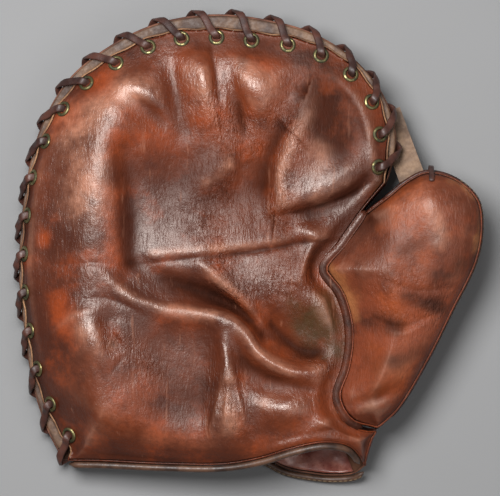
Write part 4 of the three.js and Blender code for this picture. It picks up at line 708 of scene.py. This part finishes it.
def shell(name, outline, grids, level, plain, depth, facing, materials, marks=(),
          raw=("rim", "heel")):
    """A leather shell. facing is 1 where its outer side is up and -1 where it is down. depth gives
    the thickness at each place, from the distance to the edge. The cut edge is rounded, and bare on
    the raw stretches of the outline."""
    coarse, fine = grids
    n, m = len(fine), len(coarse)
    factor = (n - 1) // (m - 1)
    flat = fine.reshape(-1, 2)
    z = level(flat)
    low = coarse.reshape(-1, 2)
    east, west, north, south = [plain(low + np.array(move) * PROBE)
                                for move in ((1, 0), (-1, 0), (0, 1), (0, -1))]
    normal = np.column_stack([west - east, south - north, np.full(len(low), 2 * PROBE)])
    low_away = outline.edge(low)[0]
    normal[:, :2] *= np.clip(low_away / HEM_WIDTH, 0, 1)[:, None]
    inner = np.column_stack([low, plain(low)]) - facing * unit(normal) * depth(low_away)[:, None]
    if facing > 0:
        inner[:, 2] = np.minimum(inner[:, 2], level(low) - LEAST_DEPTH)

    ring = ring_ids(n)
    edge_places = flat[ring]
    out = left_of(edge_places)
    thick = depth(np.zeros(1))[0]
    wall = []
    for angle in WALL_ANGLES:
        spot = edge_places + out * EDGE_ROUND * np.cos(angle)
        wall.append(np.column_stack([spot, z[ring] - facing * thick / 2 * (1 - np.sin(angle))]))
    points = np.vstack([np.column_stack([flat, z])] + wall + [inner])
    count = len(ring)
    base = n * n
    loops = [ring] + [base + k * count + np.arange(count) for k in range(len(wall))]
    sides = [band(a, b) for a, b in zip(loops, loops[1:])]
    inner_base = base + len(wall) * count
    inner_ring = inner_base + ring_ids(m)
    last = loops[-1]
    near = inner_ring[((np.arange(count) + factor // 2) // factor) % len(inner_ring)]
    join = [np.stack([last, near, np.roll(last, -1)], -1)]
    turn = np.flatnonzero(near != np.roll(near, -1))
    join.append(np.stack([near[turn], np.roll(near, -1)[turn], np.roll(last, -1)[turn]], -1))
    up = facing > 0
    faces = [cell_quads(n, n, 0, not up), np.vstack(sides), np.vstack(join),
             cell_quads(m, m, inner_base, up)]
    if not up:
        faces[1], faces[2] = faces[1][:, ::-1], faces[2][:, ::-1]
    laced = np.array([outline.names[k] in raw for k in outline.nearest(edge_places)])
    indices = [np.zeros(len(faces[0])), np.tile(laced, len(wall)), np.full(len(faces[2]), 2),
               np.full(len(faces[3]), 2)]
    attributes = {}
    rest = len(points) - n * n
    for key in marks:
        attributes[key] = np.r_[np.clip(drawn(flat, STAINS[key]), 0, 1), np.zeros(rest)]
    # Marks of small and of wide hollows, below zero on crests, from which the leather paints shade
    # into the hollows and a highlight on the crests
    square = z.reshape(n, n)
    broad = square[::factor, ::factor]
    broad = finer((blurred(broad, BROAD_ROUNDS) - broad)[..., None], factor)[..., 0]
    hollow = np.clip((blurred(square, factor ** 2) - square) / HOLLOW, -1, 1)
    inside = np.clip(outline.edge(flat)[0] / MARK_RUN, 0, 1)
    attributes["hollow"] = np.r_[hollow.ravel() * inside, np.zeros(rest)]
    attributes["broad"] = np.r_[np.clip(broad / BROAD, -1, 1).ravel() * inside, np.zeros(rest)]
    return new_mesh(name, points, faces, materials, indices, attributes)


def sweep(path, normals, section, round_ends=0.0):
    """Points and quads of a closed section swept along a path. Section rows are (aside, out)."""
    path, normals = np.asarray(path, float), np.asarray(normals, float)
    along = unit(np.gradient(path, axis=0))
    normals = unit(normals - along * (normals * along).sum(1)[:, None])
    aside = np.cross(along, normals)
    section = np.asarray(section, float)
    section = section if section.ndim == 3 else section[None]
    size, count = section.shape[1], len(path)
    scale = np.ones(count)
    if round_ends:
        run = lengths(path)
        near = np.minimum(run, run[-1] - run)
        scale = np.sqrt(np.clip(1 - (1 - np.clip(near / round_ends, 0.02, 1)) ** 2, 0.04, 1))
    rings = (path[:, None] + scale[:, None, None] * (
        aside[:, None] * section[..., :1] + normals[:, None] * section[..., 1:]))
    ids = np.arange(count * size).reshape(count, size)
    caps = [ids[0][::-1][None], ids[-1][None]]
    return rings.reshape(-1, 3), band(ids[:-1], ids[1:], True), caps


def strap(name, path, normals, section, materials, round_ends=0.0):
    points, quads, caps = sweep(path, normals, section, round_ends)
    return new_mesh(name, points, [quads] + caps, materials)


def round_section(width, thickness, sides=14, power=1.0):
    """A rounded section. power under 1 makes it squarer."""
    angle = np.linspace(0, 2 * np.pi, sides, endpoint=False)
    c, s = np.cos(angle), np.sin(angle)
    return np.column_stack([width / 2 * np.sign(c) * abs(c) ** power,
                            thickness / 2 * np.sign(s) * abs(s) ** power])


class Walk:
    """Places at a length along a run of samples."""

    def __init__(self, samples):
        self.samples = samples
        self.run = np.r_[0, np.cumsum(np.hypot(*np.diff(samples[:, :2], axis=0).T))]
        self.total = self.run[-1]

    def at(self, length):
        length = np.clip(np.atleast_1d(np.asarray(length, float)), 0, self.total)
        rows = sampled(length, self.run, self.samples, 6)
        after, before = (sampled(np.clip(place, 0, self.total), self.run, self.samples, 2)
                         for place in (length + 1, length - 1))
        ahead = unit(after - before)
        return rows, np.column_stack([-ahead[:, 1], ahead[:, 0]])


UP = np.array([0.0, 0.0, 1.0])
rim_walk, thumb_walk = Walk(rim), Walk(thumb_edge)
pitch = (rim_walk.total - FIRST_EYELET - LAST_EYELET) / (EYELET_COUNT - 1)


class Station:
    """The section of the laced edge at a length along it."""

    def __init__(self, length):
        rows, out = rim_walk.at(length)
        (x, y, self.lift, tilt, _, self.step), out = rows[0], np.r_[out[0], 0]
        self.spot, self.out = np.array([x, y, 0.0]), out
        self.tilt = tilt = np.radians(tilt)
        self.palm_in = -out * np.cos(tilt) + UP * np.sin(tilt)
        self.palm_up = out * np.sin(tilt) + UP * np.cos(tilt)
        drop = np.arctan(2 * (self.lift - STACK - BACK_LEATHER) / BOWL_RUN)
        self.back_in = -out * np.cos(drop) - UP * np.sin(drop)
        self.back_down = out * np.sin(drop) - UP * np.cos(drop)
        self.palm_edge = self.place(-self.step, STACK + LEATHER)
        self.back_edge = self.place(0, -STACK - BACK_LEATHER)
        self.eyelet = self.palm_edge + self.palm_in * EYELET_INSET
        self.hole = self.back_edge + self.back_in * HOLE_INSET

    def place(self, outward, up):
        return self.spot + self.out * outward + UP * (self.lift + up)


# Materials

class Graph:
    """A material's nodes. A socket given as an input is linked, and anything else is set on it."""

    def __init__(self, name):
        self.material = bpy.data.materials.new(name)
        self.material.use_nodes = True
        self.tree = self.material.node_tree
        self.tree.nodes.clear()
        self.place = self.add("TexCoord").outputs["Object"]

    def add(self, kind, inputs=None, **settings):
        node = self.tree.nodes.new("ShaderNode" + kind)
        for key, value in settings.items():
            setattr(node, key, value)
        for key, value in (inputs or {}).items():
            socket = node.inputs[key]
            if isinstance(value, bpy.types.NodeSocket):
                self.tree.links.new(value, socket)
            else:
                socket.default_value = value
        return node

    def noise(self, scale, detail=4.0, rough=0.55, stretch=None, distortion=0.0):
        place = self.place
        if stretch:
            turn, sizes = stretch
            place = self.add("Mapping", {"Vector": place, "Rotation": (0, 0, np.radians(turn)),
                                         "Scale": sizes}).outputs[0]
        return self.add("TexNoise", {"Vector": place, "Scale": scale, "Detail": detail,
                                     "Roughness": rough, "Distortion": distortion}).outputs["Fac"]

    def cells(self, scale):
        return self.add("TexVoronoi", {"Vector": self.place, "Scale": scale}).outputs["Distance"]

    def mark(self, name):
        return self.add("Attribute", attribute_name=name).outputs["Fac"]

    def plus(self, a, b):
        return self.add("Math", {0: a, 1: b}, operation="ADD").outputs[0]

    def times(self, a, b):
        return self.add("Math", {0: a, 1: b}, operation="MULTIPLY").outputs[0]

    def ramp(self, value, low, high, out_low=0.0, out_high=1.0):
        ends = {"From Min": low, "From Max": high, "To Min": out_low, "To Max": out_high}
        return self.add("MapRange", {"Value": value, **ends},
                        interpolation_type="SMOOTHSTEP").outputs[0]

    def mix(self, share, a, b):
        """Mixes two colours. Each is a socket or a hex code."""
        a, b = (hexed(color) if isinstance(color, str) else color for color in (a, b))
        return self.add("Mix", {"Factor": share, 6: a, 7: b}, data_type="RGBA").outputs[2]

    def bump(self, height, strength, distance, normal=None):
        inputs = {"Height": height, "Strength": strength, "Distance": distance}
        if normal is not None:
            inputs["Normal"] = normal
        return self.add("Bump", inputs).outputs[0]

    def finish(self, color, roughness, normal, **fixed):
        others = {key.replace("_", " "): value for key, value in fixed.items()}
        shader = self.add("BsdfPrincipled", {"Base Color": color, "Roughness": roughness,
                                             "Normal": normal, **others})
        output = self.add("OutputMaterial")
        self.tree.links.new(shader.outputs[0], output.inputs[0])
        return self.material


def hexed(code):
    """Linear colour of a hex code."""
    value = np.array([int(code[k:k + 2], 16) for k in (0, 2, 4)]) / 255
    return (*np.where(value > 0.04045, ((value + 0.055) / 1.055) ** 2.4, value / 12.92), 1)


def worn_leather(name, main, dark, red, crest, dull=0.0):
    """Glove leather: mottled, with painted shade that darkens its hollows, a pale colour on its crests
    that is partly rubbed wear and partly painted highlight, and stains from the marks of the mesh.
    dull: added roughness."""
    g = Graph(name)
    broad, middle, fine = g.noise(9, 5, 0.6), g.noise(38, 6, 0.62), g.noise(320, 4, 0.6)
    color = g.mix(g.ramp(broad, 0.36, 0.64), dark, main)
    color = g.mix(g.ramp(middle, 0.5, 0.72, 0, 0.6), color, red)
    color = g.mix(g.ramp(g.noise(55, 5, 0.65), 0.5, 0.75, 0, 0.75), color, "38170e")
    # Stains from the marks. The dark marks are partly stains and partly painted shade along valleys
    # and creases; the pale crest marks are partly rubbed wear and partly painted highlight.
    for mark, tint, most in (("red", red, 0.9), ("dark", "24130e", 0.85), ("olive", "3a2c18", 0.85),
                             ("wear_and_highlight", crest, 0.75), ("tan", "a86c40", 0.65)):
        spread = g.times(g.mark(mark), g.ramp(middle, 0.3, 0.7, 0.35, 1.3))
        color = g.mix(g.ramp(spread, 0.05, 1, 0, most), color, tint)
    # Painted shade: the marks of small and wide hollows darken the colour there, and make it rougher
    # and less shiny
    painted_hollow_shade = g.plus(g.ramp(g.mark("hollow"), 0.05, 1, 0, 0.45), g.ramp(g.mark("broad"), 0.05, 1, 0, 0.4))
    color = g.mix(painted_hollow_shade, color, "1e0c07")
    dim = g.plus(painted_hollow_shade, g.times(g.mark("dark"), 0.5))
    # Painted highlight and wear: the crests of the mesh get the pale crest colour, which is partly
    # rubbed wear, and more shine
    crest_wear_and_highlight = g.plus(g.ramp(g.mark("hollow"), -0.1, -0.8, 0, 0.25),
                    g.ramp(g.mark("broad"), -0.1, -0.9, 0, 0.25))
    color = g.mix(g.times(crest_wear_and_highlight, g.ramp(middle, 0.3, 0.65)), color, crest)
    color = g.mix(g.ramp(fine, 0.35, 0.7, 0.0, 0.25), color, dark)
    scratches = g.ramp(g.noise(150, 3, 0.7, (32, (1, 0.12, 1))), 0.62, 0.74, 0, 0.25)
    color = g.mix(scratches, color, crest)
    rough = g.plus(g.ramp(middle, 0.3, 0.7, 0.31 + dull, 0.4 + dull), g.times(dim, 0.3))
    shine = g.plus(g.ramp(dim, 0, 0.8, 0.48 - dull, 0.08), g.times(crest_wear_and_highlight, 0.6))
    shine = g.plus(shine, g.times(g.mark("wear_and_highlight"), 0.25))
    shine = g.times(shine, g.ramp(g.mark("matt"), 0, 1, 1, 0.35))
    lines = g.noise(400, 3, 0.6, (-62, (1, 0.28, 1)), 1.2)
    cross = g.noise(340, 3, 0.6, (8, (1, 0.3, 1)), 1.2)
    wrinkle = g.times(g.mark("wrinkled"), g.ramp(g.noise(40, 3), 0.3, 0.6))
    normal = g.bump(g.noise(30, 5, 0.6), 0.8, 0.0022)
    for wrinkles, least in ((lines, 0.3), (cross, 0.28)):
        normal = g.bump(wrinkles, g.plus(g.times(wrinkle, 1.2), least), 0.0010, normal)
    normal = g.bump(g.cells(1500), 0.35, 0.00016, normal)
    return g.finish(color, rough, normal, Specular_IOR_Level=shine, Specular_Tint=(1, 0.9, 0.84, 1))


def plain_leather(name, main, dark, rough, grain=900):
    """Smooth leather. grain: how fine its grain is."""
    g = Graph(name)
    middle, fine = g.noise(70, 5, 0.6), g.noise(420, 4, 0.6)
    color = g.mix(g.ramp(middle, 0.35, 0.65), dark, main)
    color = g.mix(g.ramp(fine, 0.4, 0.75, 0, 0.35), color, dark)
    normal = g.bump(middle, 0.4, 0.0006)
    normal = g.bump(g.cells(grain), 0.3, 0.0002, normal)
    return g.finish(color, g.ramp(fine, 0.3, 0.7, rough - 0.08, rough + 0.1), normal)


def fibrous(name, main, dark):
    """Cut leather: fibres along the edge."""
    g = Graph(name)
    fine = g.noise(520, 5, 0.7)
    broad = g.noise(45, 4, 0.6)
    color = g.mix(g.ramp(broad, 0.35, 0.65), dark, main)
    color = g.mix(g.ramp(fine, 0.35, 0.7, 0, 0.5), color, dark)
    return g.finish(color, 0.8, g.bump(fine, 0.6, 0.0004))


# The last colour of each worn leather is its pale crest colour: partly rubbed wear, partly painted
# highlight
palm_look = worn_leather("palm_leather", "6a3018", "421e12", "8c3a14", "a8725a")
thumb_look = worn_leather("thumb_leather", "783820", "4a2416", "90431c", "a4745e", 0.1)
back_look = worn_leather("back_leather", "66301c", "451d12", "7c3618", "93664c")
raw_edge = fibrous("raw_edge", "a47a58", "5c3a26")
back_edge = fibrous("back_edge", "8a5a44", "4a2a1e")
flesh = fibrous("flesh_side", "6e4630", "4a2c1c")
lace_look = plain_leather("lace_leather", "4e2c22", "2c1611", 0.5)
welt_look = plain_leather("welt_leather", "4a2418", "2a130c", 0.5)
rim_look = plain_leather("rim_leather", "6e5038", "3e281c", 0.6)
binding_look = plain_leather("binding_leather", "5c4030", "2e1d15", 0.45)
web_look = plain_leather("web_leather", "8c7058", "5a4434", 0.65, 600)
lining_look = plain_leather("lining_leather", "b07666", "743a30", 0.32, 500)


def brass_look():
    g = Graph("brass")
    patina = g.ramp(g.noise(260, 4, 0.6), 0.36, 0.58)
    color = g.mix(patina, "8c8258", "504e3a")
    normal = g.bump(g.noise(500, 3), 0.2, 0.0002)
    return g.finish(color, g.ramp(patina, 0, 1, 0.34, 0.65), normal, Metallic=0.9)


def thread_look():
    g = Graph("thread")
    fine = g.noise(900, 3)
    color = g.mix(fine, "54402e", "8a7454")
    return g.finish(color, 0.8, g.bump(fine, 0.4, 0.0002))


brass, thread = brass_look(), thread_look()

# Shells. CELLS: cells of the coarse grid along the seam. CORE: half width of the grid's start.
# PADDING_RUN: run over which the padding gets thick. SCALLOP: depth of the edge between eyelets.
SEAM_CELLS, UNDER_CELLS = 14, 8
PALM_CORE, THUMB_CORE = 0.28 * BODY_WIDTH, 0.3 * THUMB_BREADTH
palm_centre = on_body([(46, 30)])[0]
thumb_centre = on_thumb([(50, -3)])[0]
FACTOR = 5
PADDING_RUN, SCALLOP = 26.0, 0.7


def padding(thickness, most):
    """Thickness of a shell from the distance to its edge: the leather, and most more past the hem."""
    def depth(away):
        share = np.clip((away - 0.8 * HEM_WIDTH) / PADDING_RUN, 0, 1)
        return thickness + most * share * share * (3 - 2 * share)
    return depth


palm_fixed = {"crotch": 1, "seam": SEAM_CELLS // 2, "side": 1, "heel": 12}
scallop = np.zeros(len(palm_outline.rows))
along = Walk(rim[:-1]).run
scallop[:len(along)] = SCALLOP * (1 - np.cos(2 * np.pi * (along - FIRST_EYELET) / pitch))
palm_grids = wrap_grid(palm_outline.narrowed(EDGE_ROUND + scallop), palm_centre, PALM_CORE, 12,
                       palm_fixed, 2, FACTOR)
palm = shell("palm_shell", palm_outline, palm_grids, palm_level, lambda p: palm_level(p, False),
             padding(LEATHER, PALM_PADDING), 1, [palm_look, raw_edge, flesh], STAINS, ("rim",))
finish_piece(palm, ["palm"])

back_fixed = {"crotch": 2, "seam": UNDER_CELLS, "side": 2, "heel": 14}
back_grids = wrap_grid(back_outline.narrowed(EDGE_ROUND), palm_centre, PALM_CORE, 14, back_fixed, 2, 2)
back = shell("back_shell", back_outline, back_grids, back_level, back_level,
             padding(BACK_LEATHER, 0), -1, [back_look, back_edge, flesh])
finish_piece(back, ["back"])

thumb_grids = wrap_grid(thumb_outline.narrowed(EDGE_ROUND), thumb_centre, THUMB_CORE, 12,
                        {"seam": SEAM_CELLS}, 1, FACTOR)
thumb = shell("thumb_shell", thumb_outline, thumb_grids, thumb_level, lambda p: thumb_level(p, False),
              padding(LEATHER, THUMB_PADDING), 1, [thumb_look, raw_edge, flesh], STAINS, ())
finish_piece(thumb, ["thumb_front"])

thumb_back_grids = wrap_grid(thumb_back_outline.narrowed(EDGE_ROUND), thumb_centre, THUMB_CORE, 10,
                             {"seam": UNDER_CELLS}, 2, 2)
thumb_back = shell("thumb_back_shell", thumb_back_outline, thumb_back_grids, thumb_back_level,
                   thumb_back_level, padding(BACK_LEATHER, 0), -1, [back_look, back_edge, flesh])
finish_piece(thumb_back, ["thumb_back"])

# Eyelets: the profile's rows are radius and height over the leather
EYELET_PROFILE = [
    (3.1, -2.8), (3.1, 0.6), (3.25, 1.05), (3.6, 1.3), (4.1, 1.3), (4.7, 1.0), (5.15, 0.6), (5.2, 0.3),
    (3.8, 0.1), (3.8, -2.8),
]


def make_eyelets():
    points, faces = [], []
    profile = np.array(EYELET_PROFILE)
    size = len(profile) * EYELET_SIDES
    angle = np.linspace(0, 2 * np.pi, EYELET_SIDES, endpoint=False)
    for k in range(EYELET_COUNT):
        s = Station(FIRST_EYELET + k * pitch)
        side = np.cross(s.palm_up, s.palm_in)
        ring = np.outer(np.cos(angle), s.palm_in) + np.outer(np.sin(angle), side)
        spot = s.eyelet + profile[:, None, 1:] * s.palm_up + profile[:, None, :1] * ring[None]
        points.append(spot.reshape(-1, 3))
        ids = k * size + np.arange(size).reshape(len(profile), EYELET_SIDES)
        faces.append(band(ids, np.roll(ids, -1, 0)))
    return new_mesh("eyelets", np.vstack(points), [np.vstack(faces)], [brass])


finish_piece(make_eyelets(), [f"eyelet_{k + 1:02d}" for k in range(EYELET_COUNT)])


# Lace: out of each eyelet, over the edge towards the heel corner, and in through the back
def lace_stations():
    """Places of the thong's middle and the ways its outer side faces, all along it."""
    lift = LACE_THICKNESS / 2 + 0.7
    over_flange = GAP + 0.9 + LACE_THICKNESS / 2 + 0.5
    start = FIRST_EYELET + (EYELET_COUNT - 1) * pitch
    rows = []

    def station(turns):
        return Station(start - turns * pitch)

    for i in range(EYELET_COUNT):
        s = station(i)
        rows.append((s.eyelet - s.palm_up * (LEATHER + 3.2), s.palm_in))
        rows.append((s.eyelet + s.palm_up * EYELET_TOP - s.palm_in * 0.1, s.palm_in * 2 + s.palm_up))
        s = station(i + 0.07)
        rows.append((s.eyelet + s.palm_up * (over_flange + 0.9) - s.palm_in * 1.8,
                     s.palm_up * 2 + s.palm_in))
        s = station(i + 0.18)
        rows.append((s.palm_edge + s.palm_up * (lift + 0.9) + s.palm_in * 1.8, s.palm_up))
        s = station(i + 0.34)
        over_in = min(1, s.step - (lift + 0.9) * np.sin(s.tilt))
        rows.append((s.place(-over_in, STACK + LEATHER + lift - 0.4 - 0.15 * s.step), UP + s.palm_up))
        s = station(i + 0.46)
        rows.append((s.place(LACE_THICKNESS / 2 + 0.7, 1), s.out + UP * 0.2))
        s = station(i + 0.54)
        rows.append((s.place(LACE_THICKNESS / 2 + 1.3, -STACK - BACK_LEATHER), s.out - UP * 0.6))
        s = station(i + 0.64)
        rows.append((s.back_edge + s.back_down * (lift + 0.7) + s.back_in * 0.8, s.back_down))
        s = station(i + 0.82)
        rows.append((s.hole + s.back_down * (lift + 0.5) - s.back_in * 2.6, s.back_down))
        if i == EYELET_COUNT - 1:
            break
        s = station(i + 1)
        rows.append((s.hole + s.back_down * (lift + 0.2) - s.back_in * 0.4, s.back_down + s.back_in))
        rows.append((s.hole - s.back_down * (BACK_LEATHER + 2.2), s.back_in))
    places, ways = zip(*rows)
    return places, [way / np.linalg.norm(way) for way in ways]


lace_path, lace_normals = lace_stations()
lace = strap("lace", smooth_line(lace_path, 5), smooth_line(lace_normals, 5),
             round_section(LACE_WIDTH + 0.5, LACE_THICKNESS + 0.3, 12, 0.6), [lace_look])
finish_piece(lace, ["rim_lace"])


# Edges
def beside(samples, outward, rise, trim, step=3.0):
    """A path beside a run of samples. trim: what it leaves free at the two ends."""
    walk = Walk(samples)
    at = np.arange(trim[0], walk.total - trim[1], step)
    rows, out = walk.at(at)
    return np.column_stack([rows[:, :2] + out * outward, rows[:, 2] + rise])


def upward(path):
    return np.tile(UP, (len(path), 1))


def edging(name, path, section, look, node):
    """A strand with rounded ends along the edge of a shell."""
    finish_piece(strap(name, path, upward(path), section, [look], 2), [node])


# The rim's strand fills the space between the cut edges, so its width changes along it
rows, out = rim_walk.at(np.arange(6, rim_walk.total - 12, 3.0))
outer, inner = 0.4 + 0.13 * rows[:, 5], rows[:, 5] + 1.6
path = np.column_stack([rows[:, :2] - out * ((outer + inner) / 2)[:, None], rows[:, 2]])
widths = np.column_stack([inner - outer, np.ones(len(rows))])
edging("rim_strand", path, round_section(1, 3.0, 18, 0.5) * widths[:, None], rim_look, "rim_welt")

SEAM_SECTION = [
    (2.9, 0.5), (2.0, 0.8), (1.2, 1.3), (0, 1.6), (-1.2, 1.3), (-2.0, 0.8), (-2.9, 0.5), (-2.1, -0.3),
    (-1.4, -1.9), (1.4, -1.9), (2.1, -0.3),
]
path = beside(seam_top, 0, STACK + LEATHER - 0.4, (0, 9))
points, quads, caps = sweep(path, upward(path), SEAM_SECTION, 2)
seam_marks = {"dark": np.clip((chart(points)[:, 1] - 250) / 20, 0, 1)}
seam_welt = new_mesh("seam_piping", points, [quads] + caps, [palm_look], None, seam_marks)
finish_piece(seam_welt, ["seam_welt"])

welt_out, binding_out = -THUMB_WELT / 2 + 2 * GAP, BINDING / 2 + GAP
edging("thumb_piping", beside(thumb_edge, welt_out, -GAP, (14, 8)),
       round_section(PIPING_WIDTH, PIPING_HEIGHT), welt_look, "thumb_welt")
edging("palm_binding_roll", beside(palm_heel, binding_out, STACK + LEATHER / 2, (4, 3)),
       round_section(BINDING, BINDING), binding_look, "palm_binding")
edging("back_binding_roll", beside(back_heel, binding_out, -BACK_LEATHER / 2, (4, 3)),
       round_section(BINDING, BINDING), binding_look, "back_binding")


# Lining inside the wrist opening
LINING_COLUMNS, LINING_ROWS = 60, 34
LINING_START, LINING_WIDTH, LINING_SLANT, LINING_DEPTH = 10, 104, 22, 56


def make_lining():
    s = np.linspace(0, 1, LINING_COLUMNS + 1)
    rows, _ = Walk(back_heel).at(LINING_START + s * LINING_WIDTH)
    d = np.linspace(0, 1, LINING_ROWS + 1)
    x = rows[None, :, 0] - d[:, None] * LINING_SLANT * (1 - s[None])
    y = rows[None, :, 1] + 2 + d[:, None] * LINING_DEPTH
    flat = np.column_stack([x.ravel(), y.ravel()])
    z = back_level(flat) + BACK_LEATHER + 1.0
    edge = np.minimum(np.minimum(s, 1 - s)[None] * 12, np.minimum(d, 1 - d)[:, None] * 8)
    edge = edge.clip(0, 1).ravel()
    soft = (np.sin(flat[:, 0] * 0.16 + 1.5 * np.sin(flat[:, 1] * 0.09))
            + 0.6 * np.sin(flat[:, 0] * 0.31 - flat[:, 1] * 0.14))
    top = np.column_stack([flat, z + 1.2 + edge * (1.4 + 1.1 * soft)])
    low = np.column_stack([flat, z])
    size = len(flat)
    ids = np.arange(size).reshape(len(d), len(s))
    cells = cell_quads(len(d), len(s))
    ring = np.r_[ids[0, :-1], ids[:-1, -1], ids[-1, :0:-1], ids[:0:-1, 0]]
    faces = [cells[:, ::-1], cells + size, band(ring + size, ring, True)]
    return new_mesh("lining", np.vstack([top, low]), faces, [lining_look])


finish_piece(make_lining(), ["wrist_lining"])


# Stitches
def stitches(name, path, lift):
    """Short threads along a path, with their ends bent down into the leather."""
    run = lengths(path)
    section = round_section(STITCH_THICKNESS, STITCH_THICKNESS, 6)
    points, faces, caps, base = [], [], [], 0
    for start in np.arange(1, run[-1] - STITCH_LENGTH, STITCH_PITCH):
        line = sampled(start + STITCH_LENGTH * np.array([0, 0.2, 0.5, 0.8, 1]), run, path, 3)
        line[:, 2] += lift - STITCH_THICKNESS * np.array([0.7, 0.1, 0, 0.1, 0.7])
        p, q, c = sweep(line, upward(line), section)
        points.append(p)
        faces.append(q + base)
        caps += [cap + base for cap in c]
        base += len(p)
    piece = new_mesh(name, np.vstack(points), [np.vstack(faces), np.vstack(caps)], [thread])
    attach(piece, "root")


stitches("heel_stitches",
         beside(back_heel, binding_out + 1.2, -BACK_LEATHER / 2 + 1.6, (6, 5), 1.0), 0.3)
stitches("thumb_stitches", beside(thumb_edge, welt_out + 1.0, -GAP + 1.0, (70, 60), 1.0), 0.2)

# Web strap
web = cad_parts["web_strap"]
web.data.materials.clear()
web.data.materials.append(web_look)


# Tie of the web, over the edge of the thumb
def seated(place, level, up, clear):
    """A place on a level, clear of it along its normal, and that normal."""
    slope = [level((place + move)[None])[0] - level((place - move)[None])[0]
             for move in np.eye(2) * 0.5]
    normal = up * np.array([-slope[0], -slope[1], 1.0]) / np.linalg.norm([*slope, 1.0])
    return np.r_[place, level(place[None])[0]] + normal * clear, normal


def tie_rows():
    """Places of the tie's middle and the ways its outer side faces, from its upper end down."""
    (row,), (out,) = thumb_walk.at(TIE_PLACE)
    spot, side = np.r_[row[:2], 0], np.r_[out, 0]
    over = [seated(row[:2] - out * inward, thumb_level, 1, clear)
            for inward, clear in ((7.6, 0.2), (6.0, 1.0), (3.4, 1.0))]
    edge = [(spot + side * 1.7 + UP * (row[2] + STACK + LEATHER - 0.4), side),
            (spot + side * 1.9 + UP * (row[2] - STACK - BACK_LEATHER), side)]
    under = [seated(row[:2] - out * inward, thumb_back_level, -1, clear)
             for inward, clear in ((3.0, 1.0), (6.0, 0.6))]
    return zip(*over + edge + under)


tie_path, tie_normals = tie_rows()
tie = strap("tie", smooth_line(tie_path, 5), smooth_line(tie_normals, 5),
            round_section(TIE_WIDTH, TIE_THICKNESS, 12, 0.6), [lace_look], 1.2)
finish_piece(tie, ["web_tie"])

# Floor, light and camera, in metres and watts. LAMPS: name, place, width and power.
FLOOR_REACH, FLOOR_LEVEL = 4, -0.0002
LAMPS = [
    ("key", (-0.27, 0.28, 1.14), 0.56, 20),
    ("top", (0.0, 0.42, 1.0), 0.3, 2),
    ("fill", (0.6, -0.4, 1.3), 0.9, 4),
]
LAMP_AIM = Vector((0, 0, 0.03))
WORLD_LIGHT = 0.13
CAMERA_PLACE, CAMERA_LENS, CAMERA_SENSOR = (0.00175, -0.00083, 3.0), 332.7, 36

floor_mesh = bpy.data.meshes.new("floor")
corners = [(x * FLOOR_REACH, y * FLOOR_REACH, 0) for x, y in ((-1, -1), (1, -1), (1, 1), (-1, 1))]
floor_mesh.from_pydata(corners, [], [(0, 1, 2, 3)])
floor = bpy.data.objects.new("floor", floor_mesh)
floor.location.z = FLOOR_LEVEL
bpy.context.scene.collection.objects.link(floor)
g = Graph("floor_paper")
floor_mesh.materials.append(g.finish(g.mix(g.noise(6, 3), "828282", "868687"), 0.85,
                                     g.bump(g.noise(900, 2), 0.1, 0.0001)))

for name, place, width, power in LAMPS:
    data = bpy.data.lights.new(name, "AREA")
    data.shape, data.size, data.energy = "DISK", width, power
    light = bpy.data.objects.new(name, data)
    light.location = place
    light.rotation_mode = "QUATERNION"
    light.rotation_quaternion = (LAMP_AIM - light.location).to_track_quat("-Z", "Y")
    bpy.context.scene.collection.objects.link(light)

world = bpy.data.worlds.new("studio")
bpy.context.scene.world = world
world.use_nodes = True
background = world.node_tree.nodes["Background"]
background.inputs[0].default_value = (1, 1, 1, 1)
background.inputs[1].default_value = WORLD_LIGHT

camera_data = bpy.data.cameras.new("camera")
camera_data.lens = CAMERA_LENS
camera_data.sensor_width = CAMERA_SENSOR
camera_data.clip_end = 20
camera = bpy.data.objects.new("camera", camera_data)
camera.location = CAMERA_PLACE
bpy.context.scene.collection.objects.link(camera)
bpy.context.scene.camera = camera
bpy.context.scene.view_settings.view_transform = "Standard"
